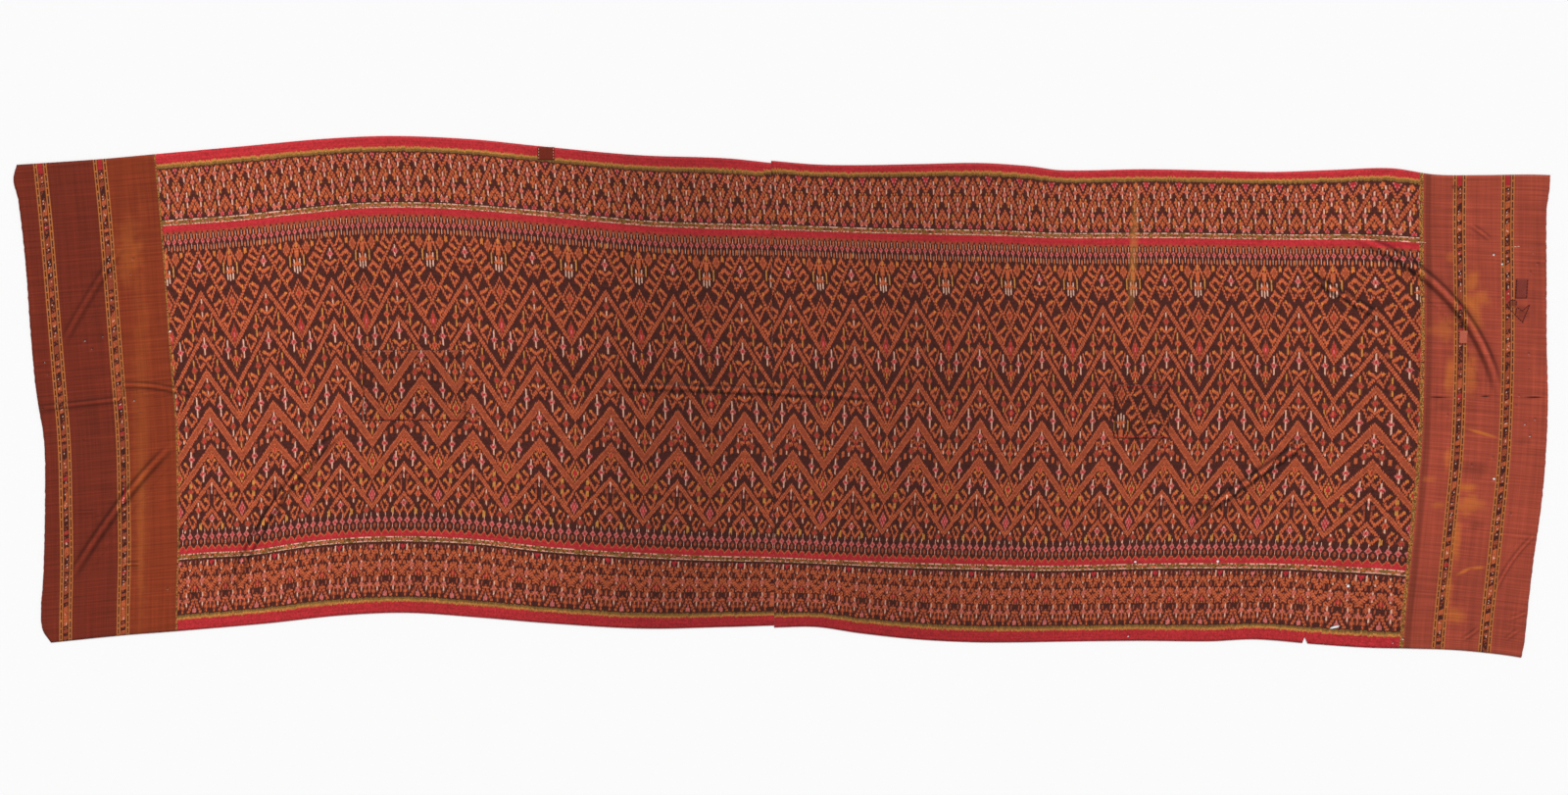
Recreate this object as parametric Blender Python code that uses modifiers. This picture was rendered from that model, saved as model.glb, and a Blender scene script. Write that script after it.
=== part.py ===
"""A silk sampot hol laid out flat: two woven lengths joined across the middle, with the repairs sewn on them.

The script works in metres. +X runs along the cloth, +Y across it to the upper selvage, +Z up.
The origin is under the middle of the cloth, on the surface that it lies on.
"""

import math
from collections import namedtuple

import bmesh
import bpy
from mathutils import Vector

MM = 0.001

# Driving dimensions in millimetres
WALL = 1.2
PATCH_WALL = 1.0
GAP = 0.3
GRID_PITCH = 22.0
PATCH_PITCH = 36.0
CREASE_SAMPLES = 16
CREASE_TAPER = 0.22
HOLE_SIDES = 10
CUTTER_REACH = 12.0

# The two selvages, at stations along each length
Selvage = namedtuple("Selvage", "along upper lower")
LEFT_SELVAGES = (
    Selvage(-1476, 457, -484),
    Selvage(-1312, 468, -467),
    Selvage(-1200, 478, -458),
    Selvage(-1032, 493, -443),
    Selvage(-876, 507, -426),
    Selvage(-750, 512, -421),
    Selvage(-603, 506, -431),
    Selvage(-474, 493, -442),
    Selvage(-288, 476, -453),
    Selvage(-120, 470, -450),
    Selvage(-31, 461, -447),
)
RIGHT_SELVAGES = (
    Selvage(-29, 465, -451),
    Selvage(56, 458, -450),
    Selvage(145, 457, -463),
    Selvage(254, 459, -475),
    Selvage(365, 461, -481),
    Selvage(459, 455, -481),
    Selvage(523, 447, -480),
    Selvage(683, 449, -478),
    Selvage(833, 446, -479),
    Selvage(925, 444, -475),
    Selvage(1044, 448, -485),
    Selvage(1148, 451, -492),
    Selvage(1233, 439, -494),
    Selvage(1319, 438, -497),
    Selvage(1416, 439, -507),
    Selvage(1476, 437, -517),
)

# The two cut ends and the join, by the share of the width from the lower selvage
End = namedtuple("End", "share left join right")
ENDS = (
    End(0.00, -1455, -27, 1450),
    End(0.03, -1470, -27, 1454),
    End(0.07, -1471, -27, 1456),
    End(0.14, -1463, -28, 1459),
    End(0.21, -1457, -28, 1463),
    End(0.33, -1449, -29, 1472),
    End(0.43, -1446, -29, 1475),
    End(0.54, -1456, -30, 1473),
    End(0.66, -1460, -30, 1464),
    End(0.80, -1462, -31, 1456),
    End(0.93, -1469, -31, 1449),
    End(0.97, -1476, -32, 1452),
    End(1.00, -1468, -32, 1452),
)

# The largest creases: a ridge that rises from the surface over a curve through three places
Crease = namedtuple("Crease", "start middle end height half_width")
CREASES = (
    Crease((-1415, -372), (-1310, -212), (-1222, -95), 3.0, 28),
    Crease((-1388, 124), (-1312, 230), (-1246, 323), 2.5, 28),
    Crease((-1450, 27), (-1299, 15), (-1138, 4), 4.0, 28),
    Crease((-1119, -401), (-1040, -285), (-900, -105), 2.0, 30),
    Crease((-349, 31), (-100, 33), (163, 21), 4.0, 28),
    Crease((1109, 308), (1300, 190), (1380, 10), 5.0, 30),
    Crease((984, -93), (881, -155), (778, -224), 2.5, 28),
    Crease((1048, -263), (888, -336), (726, -401), 2.5, 28),
    Crease((1443, -293), (1402, -372), (1365, -451), 2.5, 28),
)

# Repairs that lie on a length, by their edges along and across the cloth
Repair = namedtuple("Repair", "name length start stop lower upper")
REPAIRS = (
    Repair("field_patch_left", "left_length", -823, -624, -37, 102),
    Repair("field_patch_right", "right_length", 632, 740, -72, 34),
    Repair("selvage_patch", "left_length", -476, -444, 467, 491),
    Repair("stripe_darn", "right_length", 1293, 1310, 113, 139),
    Repair("end_darn", "right_length", 1398, 1421, 202, 240),
)

# Wear that goes right through: round holes and one slot, with how far each is turned in degrees
Wear = namedtuple("Wear", "along across long wide turn")
LEFT_WEAR = (Wear(-1191, 138, 5.0, 4.4, 20),)
RIGHT_WEAR = (
    Wear(674, 353, 4.8, 4.4, 0),
    Wear(1090, 52, 4.8, 4.4, 30),
    Wear(682, -318, 5.6, 5.0, 0),
    Wear(844, -317, 6.0, 5.4, 60),
    Wear(1102, -367, 7.0, 6.2, 10),
    Wear(1353, 286, 4.8, 4.4, 0),
    Wear(1370, 268, 4.8, 4.4, 45),
    Wear(1377, -152, 5.8, 5.0, 0),
    Wear(1079, -450, 21.0, 5.4, 15),
)
TEAR_ALONG = 1020
TEAR_DEPTH = 13
TEAR_WIDTH = 13

# Finish of each piece: linear colour and roughness
Finish = namedtuple("Finish", "colour roughness")
FINISHES = {
    "left_length": Finish((0.33, 0.085, 0.045), 0.55),
    "right_length": Finish((0.35, 0.09, 0.05), 0.55),
    "field_patch_left": Finish((0.40, 0.10, 0.04), 0.6),
    "field_patch_right": Finish((0.25, 0.07, 0.045), 0.6),
    "selvage_patch": Finish((0.15, 0.035, 0.016), 0.65),
    "stripe_darn": Finish((0.46, 0.13, 0.09), 0.65),
    "end_darn": Finish((0.22, 0.05, 0.035), 0.65),
}
METALLIC = 0.0


def mix(low, high, share):
    return low + (high - low) * share


def read_smooth(rows, key, column, at):
    """The column's value at a place between rows, on a smooth curve through all of them."""
    places = [getattr(row, key) for row in rows]
    values = [getattr(row, column) for row in rows]
    last = len(rows) - 1
    at = min(max(at, places[0]), places[last])
    right = next(i for i in range(1, last + 1) if at <= places[i])
    left = right - 1

    def slope(i):
        before = max(i - 1, 0)
        after = min(i + 1, last)
        return (values[after] - values[before]) / (places[after] - places[before])

    span = places[right] - places[left]
    share = (at - places[left]) / span
    rest = 1 - share
    ends = values[left] * (1 + 2 * share) * rest**2 + values[right] * (3 - 2 * share) * share**2
    bend = slope(left) * share * rest**2 - slope(right) * rest * share**2
    return ends + bend * span


def end_lines(length, share):
    """Where a length starts and stops along the cloth, at a share of its width."""
    join = read_smooth(ENDS, "share", "join", share)
    if length == "left_length":
        return read_smooth(ENDS, "share", "left", share), join - GAP / 2
    return join + GAP / 2, read_smooth(ENDS, "share", "right", share)


def selvage_lines(length, along):
    """The lower and upper selvage of a length, at a place along the cloth."""
    rows = LEFT_SELVAGES if length == "left_length" else RIGHT_SELVAGES
    return read_smooth(rows, "along", "lower", along), read_smooth(rows, "along", "upper", along)


def cloth_place(length, along_share, width_share):
    start, stop = end_lines(length, width_share)
    along = mix(start, stop, along_share)
    lower, upper = selvage_lines(length, along)
    return along, mix(lower, upper, width_share)


def shares_of(length, along, across):
    """The inverse of cloth_place."""
    lower, upper = selvage_lines(length, along)
    width_share = (across - lower) / (upper - lower)
    width_share = min(max(width_share, 0.0), 1.0)
    start, stop = end_lines(length, width_share)
    return (along - start) / (stop - start), width_share


def crease_point(crease, share):
    """A point on the parabola through the crease's start, middle and end."""
    weights = (2 * share**2 - 3 * share + 1, 4 * share - 4 * share**2, 2 * share**2 - share)
    places = (crease.start, crease.middle, crease.end)
    return Vector([sum(w * place[i] for w, place in zip(weights, places)) for i in (0, 1)])


def crease_height(along, across):
    """How far the cloth stands off the surface, in millimetres."""
    here = Vector((along, across))
    height = 0.0
    for crease in CREASES:
        points = [crease_point(crease, i / CREASE_SAMPLES) for i in range(CREASE_SAMPLES + 1)]
        for i in range(CREASE_SAMPLES):
            step = points[i + 1] - points[i]
            on_step = min(max((here - points[i]).dot(step) / step.length_squared, 0.0), 1.0)
            away = (here - points[i] - step * on_step).length / crease.half_width
            if away >= 1:
                continue
            share = (i + on_step) / CREASE_SAMPLES
            taper = min(share, 1 - share, CREASE_TAPER) / CREASE_TAPER
            rise = math.cos(away * math.pi / 2) ** 2 * math.sin(taper * math.pi / 2)
            height = max(height, crease.height * rise)
    return height


def stations(start, stop, pitch, fixed):
    """Values from start to stop, near a pitch apart, with every fixed value among them."""
    marks = [start] + sorted(value for value in fixed if start < value < stop) + [stop]
    found = [start]
    for low, high in zip(marks, marks[1:]):
        count = max(1, round((high - low) / pitch))
        found += [mix(low, high, (i + 1) / count) for i in range(count)]
    return found


def repair_shares(repair):
    """The low and high corner of a repair, as shares of its length and width."""
    low = shares_of(repair.length, repair.start, repair.lower)
    high = shares_of(repair.length, repair.stop, repair.upper)
    return low, high


def finish_material(name):
    finish = FINISHES[name]
    material = bpy.data.materials.new(name)
    material.use_nodes = True
    shader = material.node_tree.nodes["Principled BSDF"]
    shader.inputs["Base Color"].default_value = (*finish.colour, 1.0)
    shader.inputs["Roughness"].default_value = finish.roughness
    shader.inputs["Metallic"].default_value = METALLIC
    material.diffuse_color = (*finish.colour, 1.0)
    return material


def add_object(name, bm, collection):
    mesh = bpy.data.meshes.new(name)
    bm.to_mesh(mesh)
    bm.free()
    made = bpy.data.objects.new(name, mesh)
    collection.objects.link(made)
    return made


def add_wall(made, thickness):
    solidify = made.modifiers.new("Wall", "SOLIDIFY")
    solidify.thickness = thickness * MM
    solidify.offset = 1.0
    solidify.use_even_offset = True


def add_sheet(name, length, along_shares, width_shares, lift, thickness, collection):
    """A wall of cloth on a grid of shares, lifted off the surface by its creases and what it lies on."""
    columns = len(along_shares) - 1
    rows = len(width_shares) - 1
    bm = bmesh.new()
    bmesh.ops.create_grid(bm, x_segments=columns, y_segments=rows, size=0.5)
    for vertex in bm.verts:
        column = round((vertex.co.x + 0.5) * columns)
        row = round((vertex.co.y + 0.5) * rows)
        along, across = cloth_place(length, along_shares[column], width_shares[row])
        rise = crease_height(along, across)
        vertex.co = Vector((along, across, rise + lift)) * MM
    sheet = add_object(name, bm, collection)
    sheet.data.materials.append(finish_material(name))
    sheet.data.shade_smooth()
    add_wall(sheet, thickness)
    return sheet


def add_length(name, collection):
    """One woven length, with grid lines along the edges of every repair that lies on it."""
    along_marks = []
    width_marks = []
    for repair in REPAIRS:
        if repair.length == name:
            low, high = repair_shares(repair)
            along_marks += [low[0], high[0]]
            width_marks += [low[1], high[1]]
    start, stop = end_lines(name, 0.5)
    lower, upper = selvage_lines(name, mix(start, stop, 0.5))
    along_shares = stations(0.0, 1.0, GRID_PITCH / (stop - start), along_marks)
    width_shares = stations(0.0, 1.0, GRID_PITCH / (upper - lower), width_marks)
    return add_sheet(name, name, along_shares, width_shares, 0.0, WALL, collection)


def add_repair(repair, collection):
    low, high = repair_shares(repair)
    start, stop = end_lines(repair.length, 0.5)
    pitch = PATCH_PITCH / (stop - start)
    along_shares = stations(low[0], high[0], pitch, [])
    lower, upper = selvage_lines(repair.length, repair.start)
    width_shares = stations(low[1], high[1], PATCH_PITCH / (upper - lower), [])
    lift = WALL + GAP
    return add_sheet(
        repair.name, repair.length, along_shares, width_shares, lift, PATCH_WALL, collection
    )


def wear_prism(bm, wear):
    """An upright prism with an oval section, through the cloth."""
    made = bmesh.ops.create_cone(
        bm,
        cap_ends=True,
        segments=HOLE_SIDES,
        radius1=0.5,
        radius2=0.5,
        depth=2 * CUTTER_REACH,
    )
    turn = math.radians(wear.turn)
    for vertex in made["verts"]:
        x = vertex.co.x * wear.long
        y = vertex.co.y * wear.wide
        vertex.co.x = wear.along + x * math.cos(turn) - y * math.sin(turn)
        vertex.co.y = wear.across + x * math.sin(turn) + y * math.cos(turn)
        vertex.co *= MM


def tear_prism(bm):
    """A wedge that opens through the lower selvage of the right length."""
    lower, _ = selvage_lines("right_length", TEAR_ALONG)
    made = bmesh.ops.create_cone(
        bm, cap_ends=True, segments=3, radius1=1.0, radius2=1.0, depth=2 * CUTTER_REACH
    )
    for vertex in made["verts"]:
        at_point = vertex.co.y > 0.5
        side = 0.0 if at_point else math.copysign(TEAR_WIDTH, vertex.co.x)
        drop = -TEAR_DEPTH if at_point else TEAR_DEPTH
        vertex.co.x = TEAR_ALONG + side
        vertex.co.y = lower - drop
        vertex.co *= MM


def cut_wear(sheet, holes, torn, cutters):
    bm = bmesh.new()
    for wear in holes:
        wear_prism(bm, wear)
    if torn:
        tear_prism(bm)
    bmesh.ops.recalc_face_normals(bm, faces=bm.faces)
    cutter = add_object("wear_in_" + sheet.name, bm, cutters)
    cutter.hide_render = True
    cutter.display_type = "WIRE"
    cut = sheet.modifiers.new("Wear", "BOOLEAN")
    cut.operation = "DIFFERENCE"
    cut.solver = "EXACT"
    cut.object = cutter


def main():
    for old in list(bpy.data.objects):
        bpy.data.objects.remove(old)
    sampot = bpy.data.collections.new("sampot")
    cutters = bpy.data.collections.new("cutters")
    for collection in (sampot, cutters):
        bpy.context.scene.collection.children.link(collection)
    cutters.hide_render = True
    left = add_length("left_length", sampot)
    right = add_length("right_length", sampot)
    for repair in REPAIRS:
        add_repair(repair, sampot)
    cut_wear(left, LEFT_WEAR, False, cutters)
    cut_wear(right, RIGHT_WEAR, True, cutters)


main()
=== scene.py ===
"""A silk sampot hol laid out flat, seen from above: two ikat lengths, their patches and darns."""

import math
from collections import namedtuple
from functools import partialmethod
from types import SimpleNamespace

import bmesh
import bpy
import numpy as np
from bpy.props import FloatProperty, FloatVectorProperty, PointerProperty
from bpy.types import Operator, Panel, PropertyGroup
from mathutils import Matrix, Vector, noise


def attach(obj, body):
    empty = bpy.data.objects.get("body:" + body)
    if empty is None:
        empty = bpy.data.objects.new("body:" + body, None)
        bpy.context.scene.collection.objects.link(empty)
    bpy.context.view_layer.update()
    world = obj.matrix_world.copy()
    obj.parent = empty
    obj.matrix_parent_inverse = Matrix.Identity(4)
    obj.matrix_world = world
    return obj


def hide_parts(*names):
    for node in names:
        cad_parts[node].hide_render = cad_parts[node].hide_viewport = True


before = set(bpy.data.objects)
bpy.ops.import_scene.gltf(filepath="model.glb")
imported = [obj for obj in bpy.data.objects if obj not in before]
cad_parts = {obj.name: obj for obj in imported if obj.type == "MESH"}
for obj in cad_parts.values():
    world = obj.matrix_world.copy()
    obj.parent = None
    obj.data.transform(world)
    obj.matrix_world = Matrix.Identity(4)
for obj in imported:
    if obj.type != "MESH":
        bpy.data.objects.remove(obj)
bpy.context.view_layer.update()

bl_info = {
    "name": "Sampot hol",
    "version": (1, 0, 0),
    "blender": (4, 5, 0),
    "location": "View3D > Sidebar > Sampot",
    "description": "Weaves, patches and lays out an ikat silk sampot",
    "category": "Object",
}

MM = 0.001


def table(kind, *rows):
    """A table whose columns have names."""
    return tuple(kind(*row) for row in rows)


# The woven width in ties: one tie is the shortest stretch that a binding keeps from the dye
TIES = 486.0
TIE = 0.935 / TIES
STRIPE_TIE = 76.5
SCALLOP_TIE = 406.5
HALF_REPEAT = 33.6
FIELD_TIE = 98.0

# Bundles of weft that are tied as one, in half a repeat
BUNDLES = 24

# The two selvages of each length, in millimetres
Selvage = namedtuple("Selvage", "along upper lower")
LEFT_SELVAGES = table(
    Selvage,
    (-1476, 457, -484), (-1312, 468, -467), (-1200, 478, -458), (-1032, 493, -443), (-876, 507, -426),
    (-750, 512, -421), (-603, 506, -431), (-474, 493, -442), (-288, 476, -453), (-120, 470, -450),
    (-31, 461, -447),
)
RIGHT_SELVAGES = table(
    Selvage,
    (-29, 465, -451), (56, 458, -450), (145, 457, -463), (254, 459, -475), (365, 461, -481),
    (459, 455, -481), (523, 447, -480), (683, 449, -478), (833, 446, -479), (925, 444, -475),
    (1044, 448, -485), (1148, 451, -492), (1233, 439, -494), (1319, 438, -497), (1416, 439, -507),
    (1476, 437, -517),
)

# The cut ends and the join, by the share of the width from the lower selvage
End = namedtuple("End", "share left join right")
ENDS = table(
    End,
    (0.00, -1455, -27, 1450), (0.03, -1470, -27, 1454), (0.07, -1471, -27, 1456),
    (0.14, -1463, -28, 1459), (0.21, -1457, -28, 1463), (0.33, -1449, -29, 1472),
    (0.43, -1446, -29, 1475), (0.54, -1456, -30, 1473), (0.66, -1460, -30, 1464),
    (0.80, -1462, -31, 1456), (0.93, -1469, -31, 1449), (0.97, -1476, -32, 1452),
    (1.00, -1468, -32, 1452),
)
JOIN_GAP = 0.3

# Two warp lines of the weave: the crimson stripe under the upper border, the scallops over the lower one
Warp = namedtuple("Warp", "along stripe scallop")
WARPS = table(
    Warp,
    (-1476, 312, -331), (-1162, 337, -299), (-1050, 345, -292), (-938, 357, -275), (-826, 368, -266),
    (-714, 370, -265), (-602, 365, -271), (-491, 356, -284), (-379, 345, -293), (-268, 335, -299),
    (-156, 330, -304), (-30, 328, -307), (180, 321, -316), (404, 316, -322), (516, 312, -324),
    (740, 312, -319), (964, 309, -320), (1076, 309, -325), (1188, 304, -332), (1476, 290, -364),
)

# How far a weft line bows along the cloth, by its tie
Bow = namedtuple("Bow", "tie left right")
BOWS = table(
    Bow,
    (0, -17, -22), (54, -12, -18), (104, -9, -12), (154, -6.5, -6), (204, -4, -2), (280, 0, 0),
    (354, -4, -6), (404, -8, -11), (454, -15, -16), (486, -19, -18),
)

# Where the chevrons peak (even turns) and meet at the foot (odd turns), along each length
Turn = namedtuple("Turn", "number along")
LEFT_TURNS = table(
    Turn,
    (-2, -1246), (-1, -1184), (0, -1121), (1, -1062), (2, -997), (4, -869), (6, -745), (8, -611),
    (10, -482), (12, -343), (14, -213), (16, -83), (17, -20),
)
RIGHT_TURNS = table(
    Turn,
    (-1, -49), (0, 11), (2, 132), (4, 253), (6, 373), (8, 493), (10, 613), (12, 734), (14, 861),
    (16, 990), (17, 1057), (18, 1139), (19, 1226), (20, 1312),
)

# Creases: ridges over a curve through three places, and how strongly painted shade and a painted highlight
# lie on their flanks and crest
Crease = namedtuple("Crease", "start middle end height half_width shade")
CREASES = table(
    Crease,
    ((-1412, -356), (-1302, -200), (-1197, -85), 4.2, 14, 0.8),
    ((-1398, 115), (-1346, 201), (-1275, 304), 3.0, 13, 0.5),
    ((-1460, -14), (-1376, -4), (-1271, 8), 3.0, 10, 0.6),
    ((-1302, 31), (-1228, 31), (-1134, 9), 3.2, 10, 0.7),
    ((-1397, -218), (-1375, -218), (-1352, -217), 1.0, 6, 0.4),
    ((-1306, -322), (-1288, -322), (-1271, -322), 1.0, 7, 0.6),
    ((-1107, -395), (-991, -190), (-862, -55), 3.8, 13, 1.0),
    ((-349, 31), (-100, 24), (190, 8), 4.2, 12, 0.75),
    ((1082, 322), (1272, 202), (1378, 14), 5.6, 16, 1.0),
    ((992, 254), (1070, 205), (1148, 163), 3.0, 12, 1.0),
    ((776, -242), (905, -152), (1020, -66), 3.6, 14, 1.0),
    ((852, -384), (915, -360), (966, -329), 2.0, 12, 0.5),
    ((1306, 342), (1326, 329), (1344, 315), 1.2, 8, 0.5),
    ((1463, -263), (1420, -316), (1390, -380), 2.0, 8, 0.5),
    ((1363, -451), (1347, -465), (1332, -475), 1.0, 8, 0.5),
    ((1443, -455), (1430, -464), (1417, -475), 1.0, 8, 0.4),
    ((1456, -419), (1440, -427), (1422, -433), 1.0, 8, 0.4),
    ((-453, 67), (-406, 54), (-368, 29), 1.2, 14, 0.3),
    ((1131, -105), (1134, -170), (1137, -239), 1.2, 12, 0.3),
)
CREASE_SAMPLES = 16
RUMPLE_SPAN = 130.0
RUMPLE_SEED = 3.0
CREASE_TAPER = 0.22
CREST_SHARE = 0.42
BROAD_WEIGHT = 0.45
CREST_WEIGHT = 0.55

# Holes worn in each length: their place, length, width and turn in degrees
Hole = namedtuple("Hole", "along across long wide turn")
LEFT_HOLES = table(
    Hole,
    (-1191, 138, 5.0, 4.4, 20), (-1255, 278, 2.3, 1.9, 0), (-1262, 248, 1.7, 1.4, 40),
    (-1356, 119, 3.2, 2.7, 10), (-1343, 103, 2.2, 1.9, 0), (-1436, 77, 2.3, 2.0, 60),
    (-1431, 54, 1.4, 1.2, 0), (-1267, 2, 3.2, 2.6, 0), (-1255, -21, 1.4, 1.2, 0),
    (-1289, -48, 2.3, 1.9, 30), (-1370, -76, 1.3, 1.2, 0), (-1220, -374, 2.3, 2.0, 0),
    (-1043, 0, 1.4, 1.2, 0), (-1321, 128, 2.2, 1.8, 0), (-1444, -14, 2.0, 1.7, 0),
    (-829, -23, 3.0, 2.4, 30), (-596, 88, 2.6, 2.2, 0),
)
RIGHT_HOLES = table(
    Hole,
    (674, 353, 4.8, 4.4, 0), (1090, 52, 4.8, 4.4, 30), (682, -318, 5.6, 5.0, 0),
    (844, -317, 6.0, 5.4, 60), (1102, -367, 7.0, 6.2, 10), (1353, 286, 4.8, 4.4, 0),
    (1370, 268, 4.8, 4.4, 45), (1377, -152, 5.8, 5.0, 0), (1079, -450, 21.0, 5.4, 15),
    (672, -469, 3.9, 3.4, 20), (1195, -483, 3.2, 2.7, 0), (1215, -475, 3.9, 3.5, 0),
    (1417, 11, 2.3, 2.0, 0), (1450, -35, 2.3, 2.0, 0), (1431, -45, 3.2, 2.6, 30),
    (1442, -68, 3.1, 2.7, 0), (1371, 249, 2.4, 2.0, 0), (1375, 204, 2.2, 1.9, 0),
    (1412, -7, 1.6, 1.4, 0), (1390, -24, 2.0, 1.8, 0), (1390, -39, 2.0, 1.7, 30),
    (1430, 95, 1.8, 1.5, 0), (1279, -25, 1.4, 1.2, 0), (1332, -125, 1.4, 1.2, 0),
    (1372, -110, 1.8, 1.5, 0), (1413, -223, 1.8, 1.5, 0), (1428, 289, 1.7, 1.4, 0),
    (1437, 269, 1.4, 1.2, 0), (1425, 252, 1.5, 1.3, 30), (1433, 63, 1.5, 1.3, 0),
)
HOLE_MARGIN = 0.9
HOLE_REACH = 12
HOLE_RIM = 0.2
OUTLINE_POINTS = 16

Tear = namedtuple("Tear", "along depth")
TEAR = Tear(1020, 13)
TEAR_POWER = 12

# How the cut ends fray: the span of the unevenness and the place read in it
FRAY_SPAN = 9.0
FRAY_SEED = 5.0

# How much lighter or darker the field is made along the cloth
Fade = namedtuple("Fade", "along light")
FIELD_LIGHTNESS = table(
    Fade,
    (-1200, 1.28), (-950, 1.28), (-816, 1.18), (-683, 1.12), (-551, 1.14), (-418, 1.0), (-285, 0.82),
    (-152, 0.80), (-19, 0.9), (114, 0.88), (247, 0.84), (380, 0.92), (513, 1.0), (645, 1.1),
    (911, 1.14), (1044, 1.2), (1250, 1.12),
)

# Stains: their place, half sizes, turn in degrees, colour, strength and how ragged they are
Stain = namedtuple("Stain", "along across long wide turn colour strength ragged")
STAINS = table(
    Stain,
    (662, 292, 135, 9, 89, "gold", 0.45, 0.5), (1316, 235, 14, 30, 0, "bleach", 0.6, 1.5),
    (1322, 200, 27, 20, 0, "bleach", 0.6, 1.5), (1323, 168, 14, 34, 20, "bleach", 0.55, 0.8),
    (1272, 282, 12, 10, 0, "bleach", 0.4, 1.2), (1264, 140, 26, 24, 0, "bleach", 0.45, 1.6),
    (1280, 50, 11, 46, 0, "bleach", 0.6, 1.4), (1321, 54, 12, 48, 0, "bleach", 0.5, 1.4),
    (1350, -62, 34, 3.6, -16, "bleach", 0.9, 0.5), (1284, -112, 8, 24, 0, "bleach", 0.5, 1.2),
    (1250, -153, 16, 7, 0, "bleach", 0.4, 1.2), (1327, -169, 22, 10, 0, "bleach", 0.7, 1.3),
    (1333, -204, 30, 22, 0, "bleach", 0.6, 1.5), (1268, -204, 15, 7, 0, "bleach", 0.4, 1.2),
    (1310, -273, 9, 52, 0, "bleach", 0.65, 1.2), (1328, -337, 17, 4, 28, "bleach", 0.8, 0.5),
    (1355, -330, 17, 4, 4, "bleach", 0.8, 0.5), (1314, -425, 22, 18, 0, "bleach", 0.6, 1.2),
    (1299, -376, 9, 34, 0, "bleach", 0.45, 1.2), (1339, -132, 30, 20, 0, "edge", 0.45, 1.2),
    (1347, -245, 18, 10, 0, "edge", 0.35, 1.2), (1428, -79, 16, 8, 0, "edge", 0.3, 1.0),
    (1270, -8, 14, 8, 0, "edge", 0.3, 1.0), (-1257, -70, 430, 19, 87, "bleach", 0.17, 1.2),
    (-1266, -250, 200, 8, 87, "bleach", 0.2, 0.8), (-1264, 290, 70, 26, 88, "bleach", 0.3, 1.3),
    (1395, 192, 10, 9, 0, "edge", 0.75, 0.5), (1412, 173, 15, 17, 20, "edge", 0.6, 0.5),
    (1260, 9, 24, 2.4, -2, "ground", 1.0, 0.5), (1351, 11, 10, 2.4, 0, "ground", 1.0, 0.5),
    (1446, 9, 22, 2.2, 0, "ground", 1.0, 0.5), (1270, 416, 6, 5, 0, "edge", 0.7, 0.6),
)

# Painted shade on a crease's two flanks and a painted highlight on its crest, across it from side to side
Shade = namedtuple("Shade", "side light")
SHADES = table(
    Shade,
    (-1.4, 1.0), (-0.95, 0.9), (-0.62, 0.34), (-0.4, 0.44), (-0.1, 1.3), (0.15, 1.3), (0.45, 0.42),
    (0.62, 0.3), (0.95, 0.85), (1.4, 1.0),
)

# Sides in that table: past every crease, on a flank, and at its darkest for the painted shadow round the edge
# of a patch
PLAIN_SIDE = 2.0
FLANK_SIDE = 0.45
DARK_SIDE = 0.62
PATCH_EDGE_PAINTED_SHADOW = 0.8

# Repairs by their edges, how dark each is, and for silk of the field an even turn, the tie at the top
# and the way that its ties run
Repair = namedtuple("Repair", "name start stop lower upper dark turn_at top_tie way")
FIELD_PATCHES = table(
    Repair,
    ("field_patch_left", -823, -624, -37, 102, 0.15, -708, 270, 1),
    ("field_patch_right", 632, 740, -72, 34, 0.3, 711, 162, -1),
)
PATCH_GAP = 0.15
PATCH_FINENESS = 1.5
SELVAGE_PATCH = Repair("selvage_patch", -476, -444, 467, 491, 0.0, 0, 0, 1)
DARNS = table(
    Repair,
    ("stripe_darn", 1293, 1310, 113, 139, 0.0, 0, 0, 1),
    ("end_darn", 1398, 1421, 202, 240, 0.0, 0, 0, 1),
)

STITCH_RISE = 0.8

# Seams: the piece sewn, its ends, how many stitches, their length and width, and their thread
Seam = namedtuple("Seam", "piece start stop count long wide thread")
SEAMS = table(
    Seam,
    ("field_patch_left", (-820, 99), (-627, 99), 26, 4.0, 2.0, "orange"),
    ("field_patch_left", (-818, -34), (-627, -34), 24, 4.4, 2.0, "crimson"),
    ("field_patch_left", (-820, -30), (-820, 96), 17, 4.4, 1.8, "ground"),
    ("field_patch_left", (-627, -30), (-627, 96), 17, 4.4, 1.8, "ground"),
    ("field_patch_right", (635, 31), (737, 31), 15, 4.2, 2.2, "crimson"),
    ("field_patch_right", (635, -69), (737, -69), 15, 4.2, 2.0, "crimson"),
    ("field_patch_right", (635, -66), (635, 28), 14, 4.2, 1.8, "ground"),
    ("field_patch_right", (737, -66), (737, 28), 14, 4.2, 1.8, "ground"),
    ("selvage_patch", (-474, 468), (-474, 490), 4, 3.0, 1.4, "cream"),
    ("selvage_patch", (-446, 468), (-446, 490), 4, 3.0, 1.4, "cream"),
    ("stripe_darn", (1294, 114), (1294, 138), 5, 4.6, 2.6, "thread"),
    ("stripe_darn", (1294, 114), (1309, 114), 3, 4.6, 2.2, "thread"),
    ("end_darn", (1399, 203), (1399, 239), 6, 5.4, 2.8, "thread"),
    ("end_darn", (1420, 203), (1420, 239), 6, 5.4, 2.8, "thread"),
    ("right_length", (1386, 183), (1417, 154), 8, 5.2, 2.6, "thread"),
    ("right_length", (1427, 190), (1415, 156), 7, 5.4, 2.8, "thread"),
    ("right_length", (1403, 185), (1413, 177), 2, 5.4, 2.4, "thread"),
    ("right_length", (1413, 177), (1426, 189), 4, 5.0, 2.4, "thread"),
    ("right_length", (1402, 183), (1401, 171), 3, 4.6, 2.4, "thread"),
    ("right_length", (1389, 198), (1400, 198), 2, 4.6, 2.4, "thread"),
    ("right_length", (1401, 197), (1401, 188), 2, 4.4, 2.4, "thread"),
    ("right_length", (1389, 188), (1388, 197), 2, 4.4, 2.4, "thread"),
    ("right_length", (1390, 301), (1402, 302), 2, 6.0, 2.0, "cream"),
    ("right_length", (1208, 310), (1222, 309), 3, 5.0, 1.6, "cream"),
)


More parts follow.
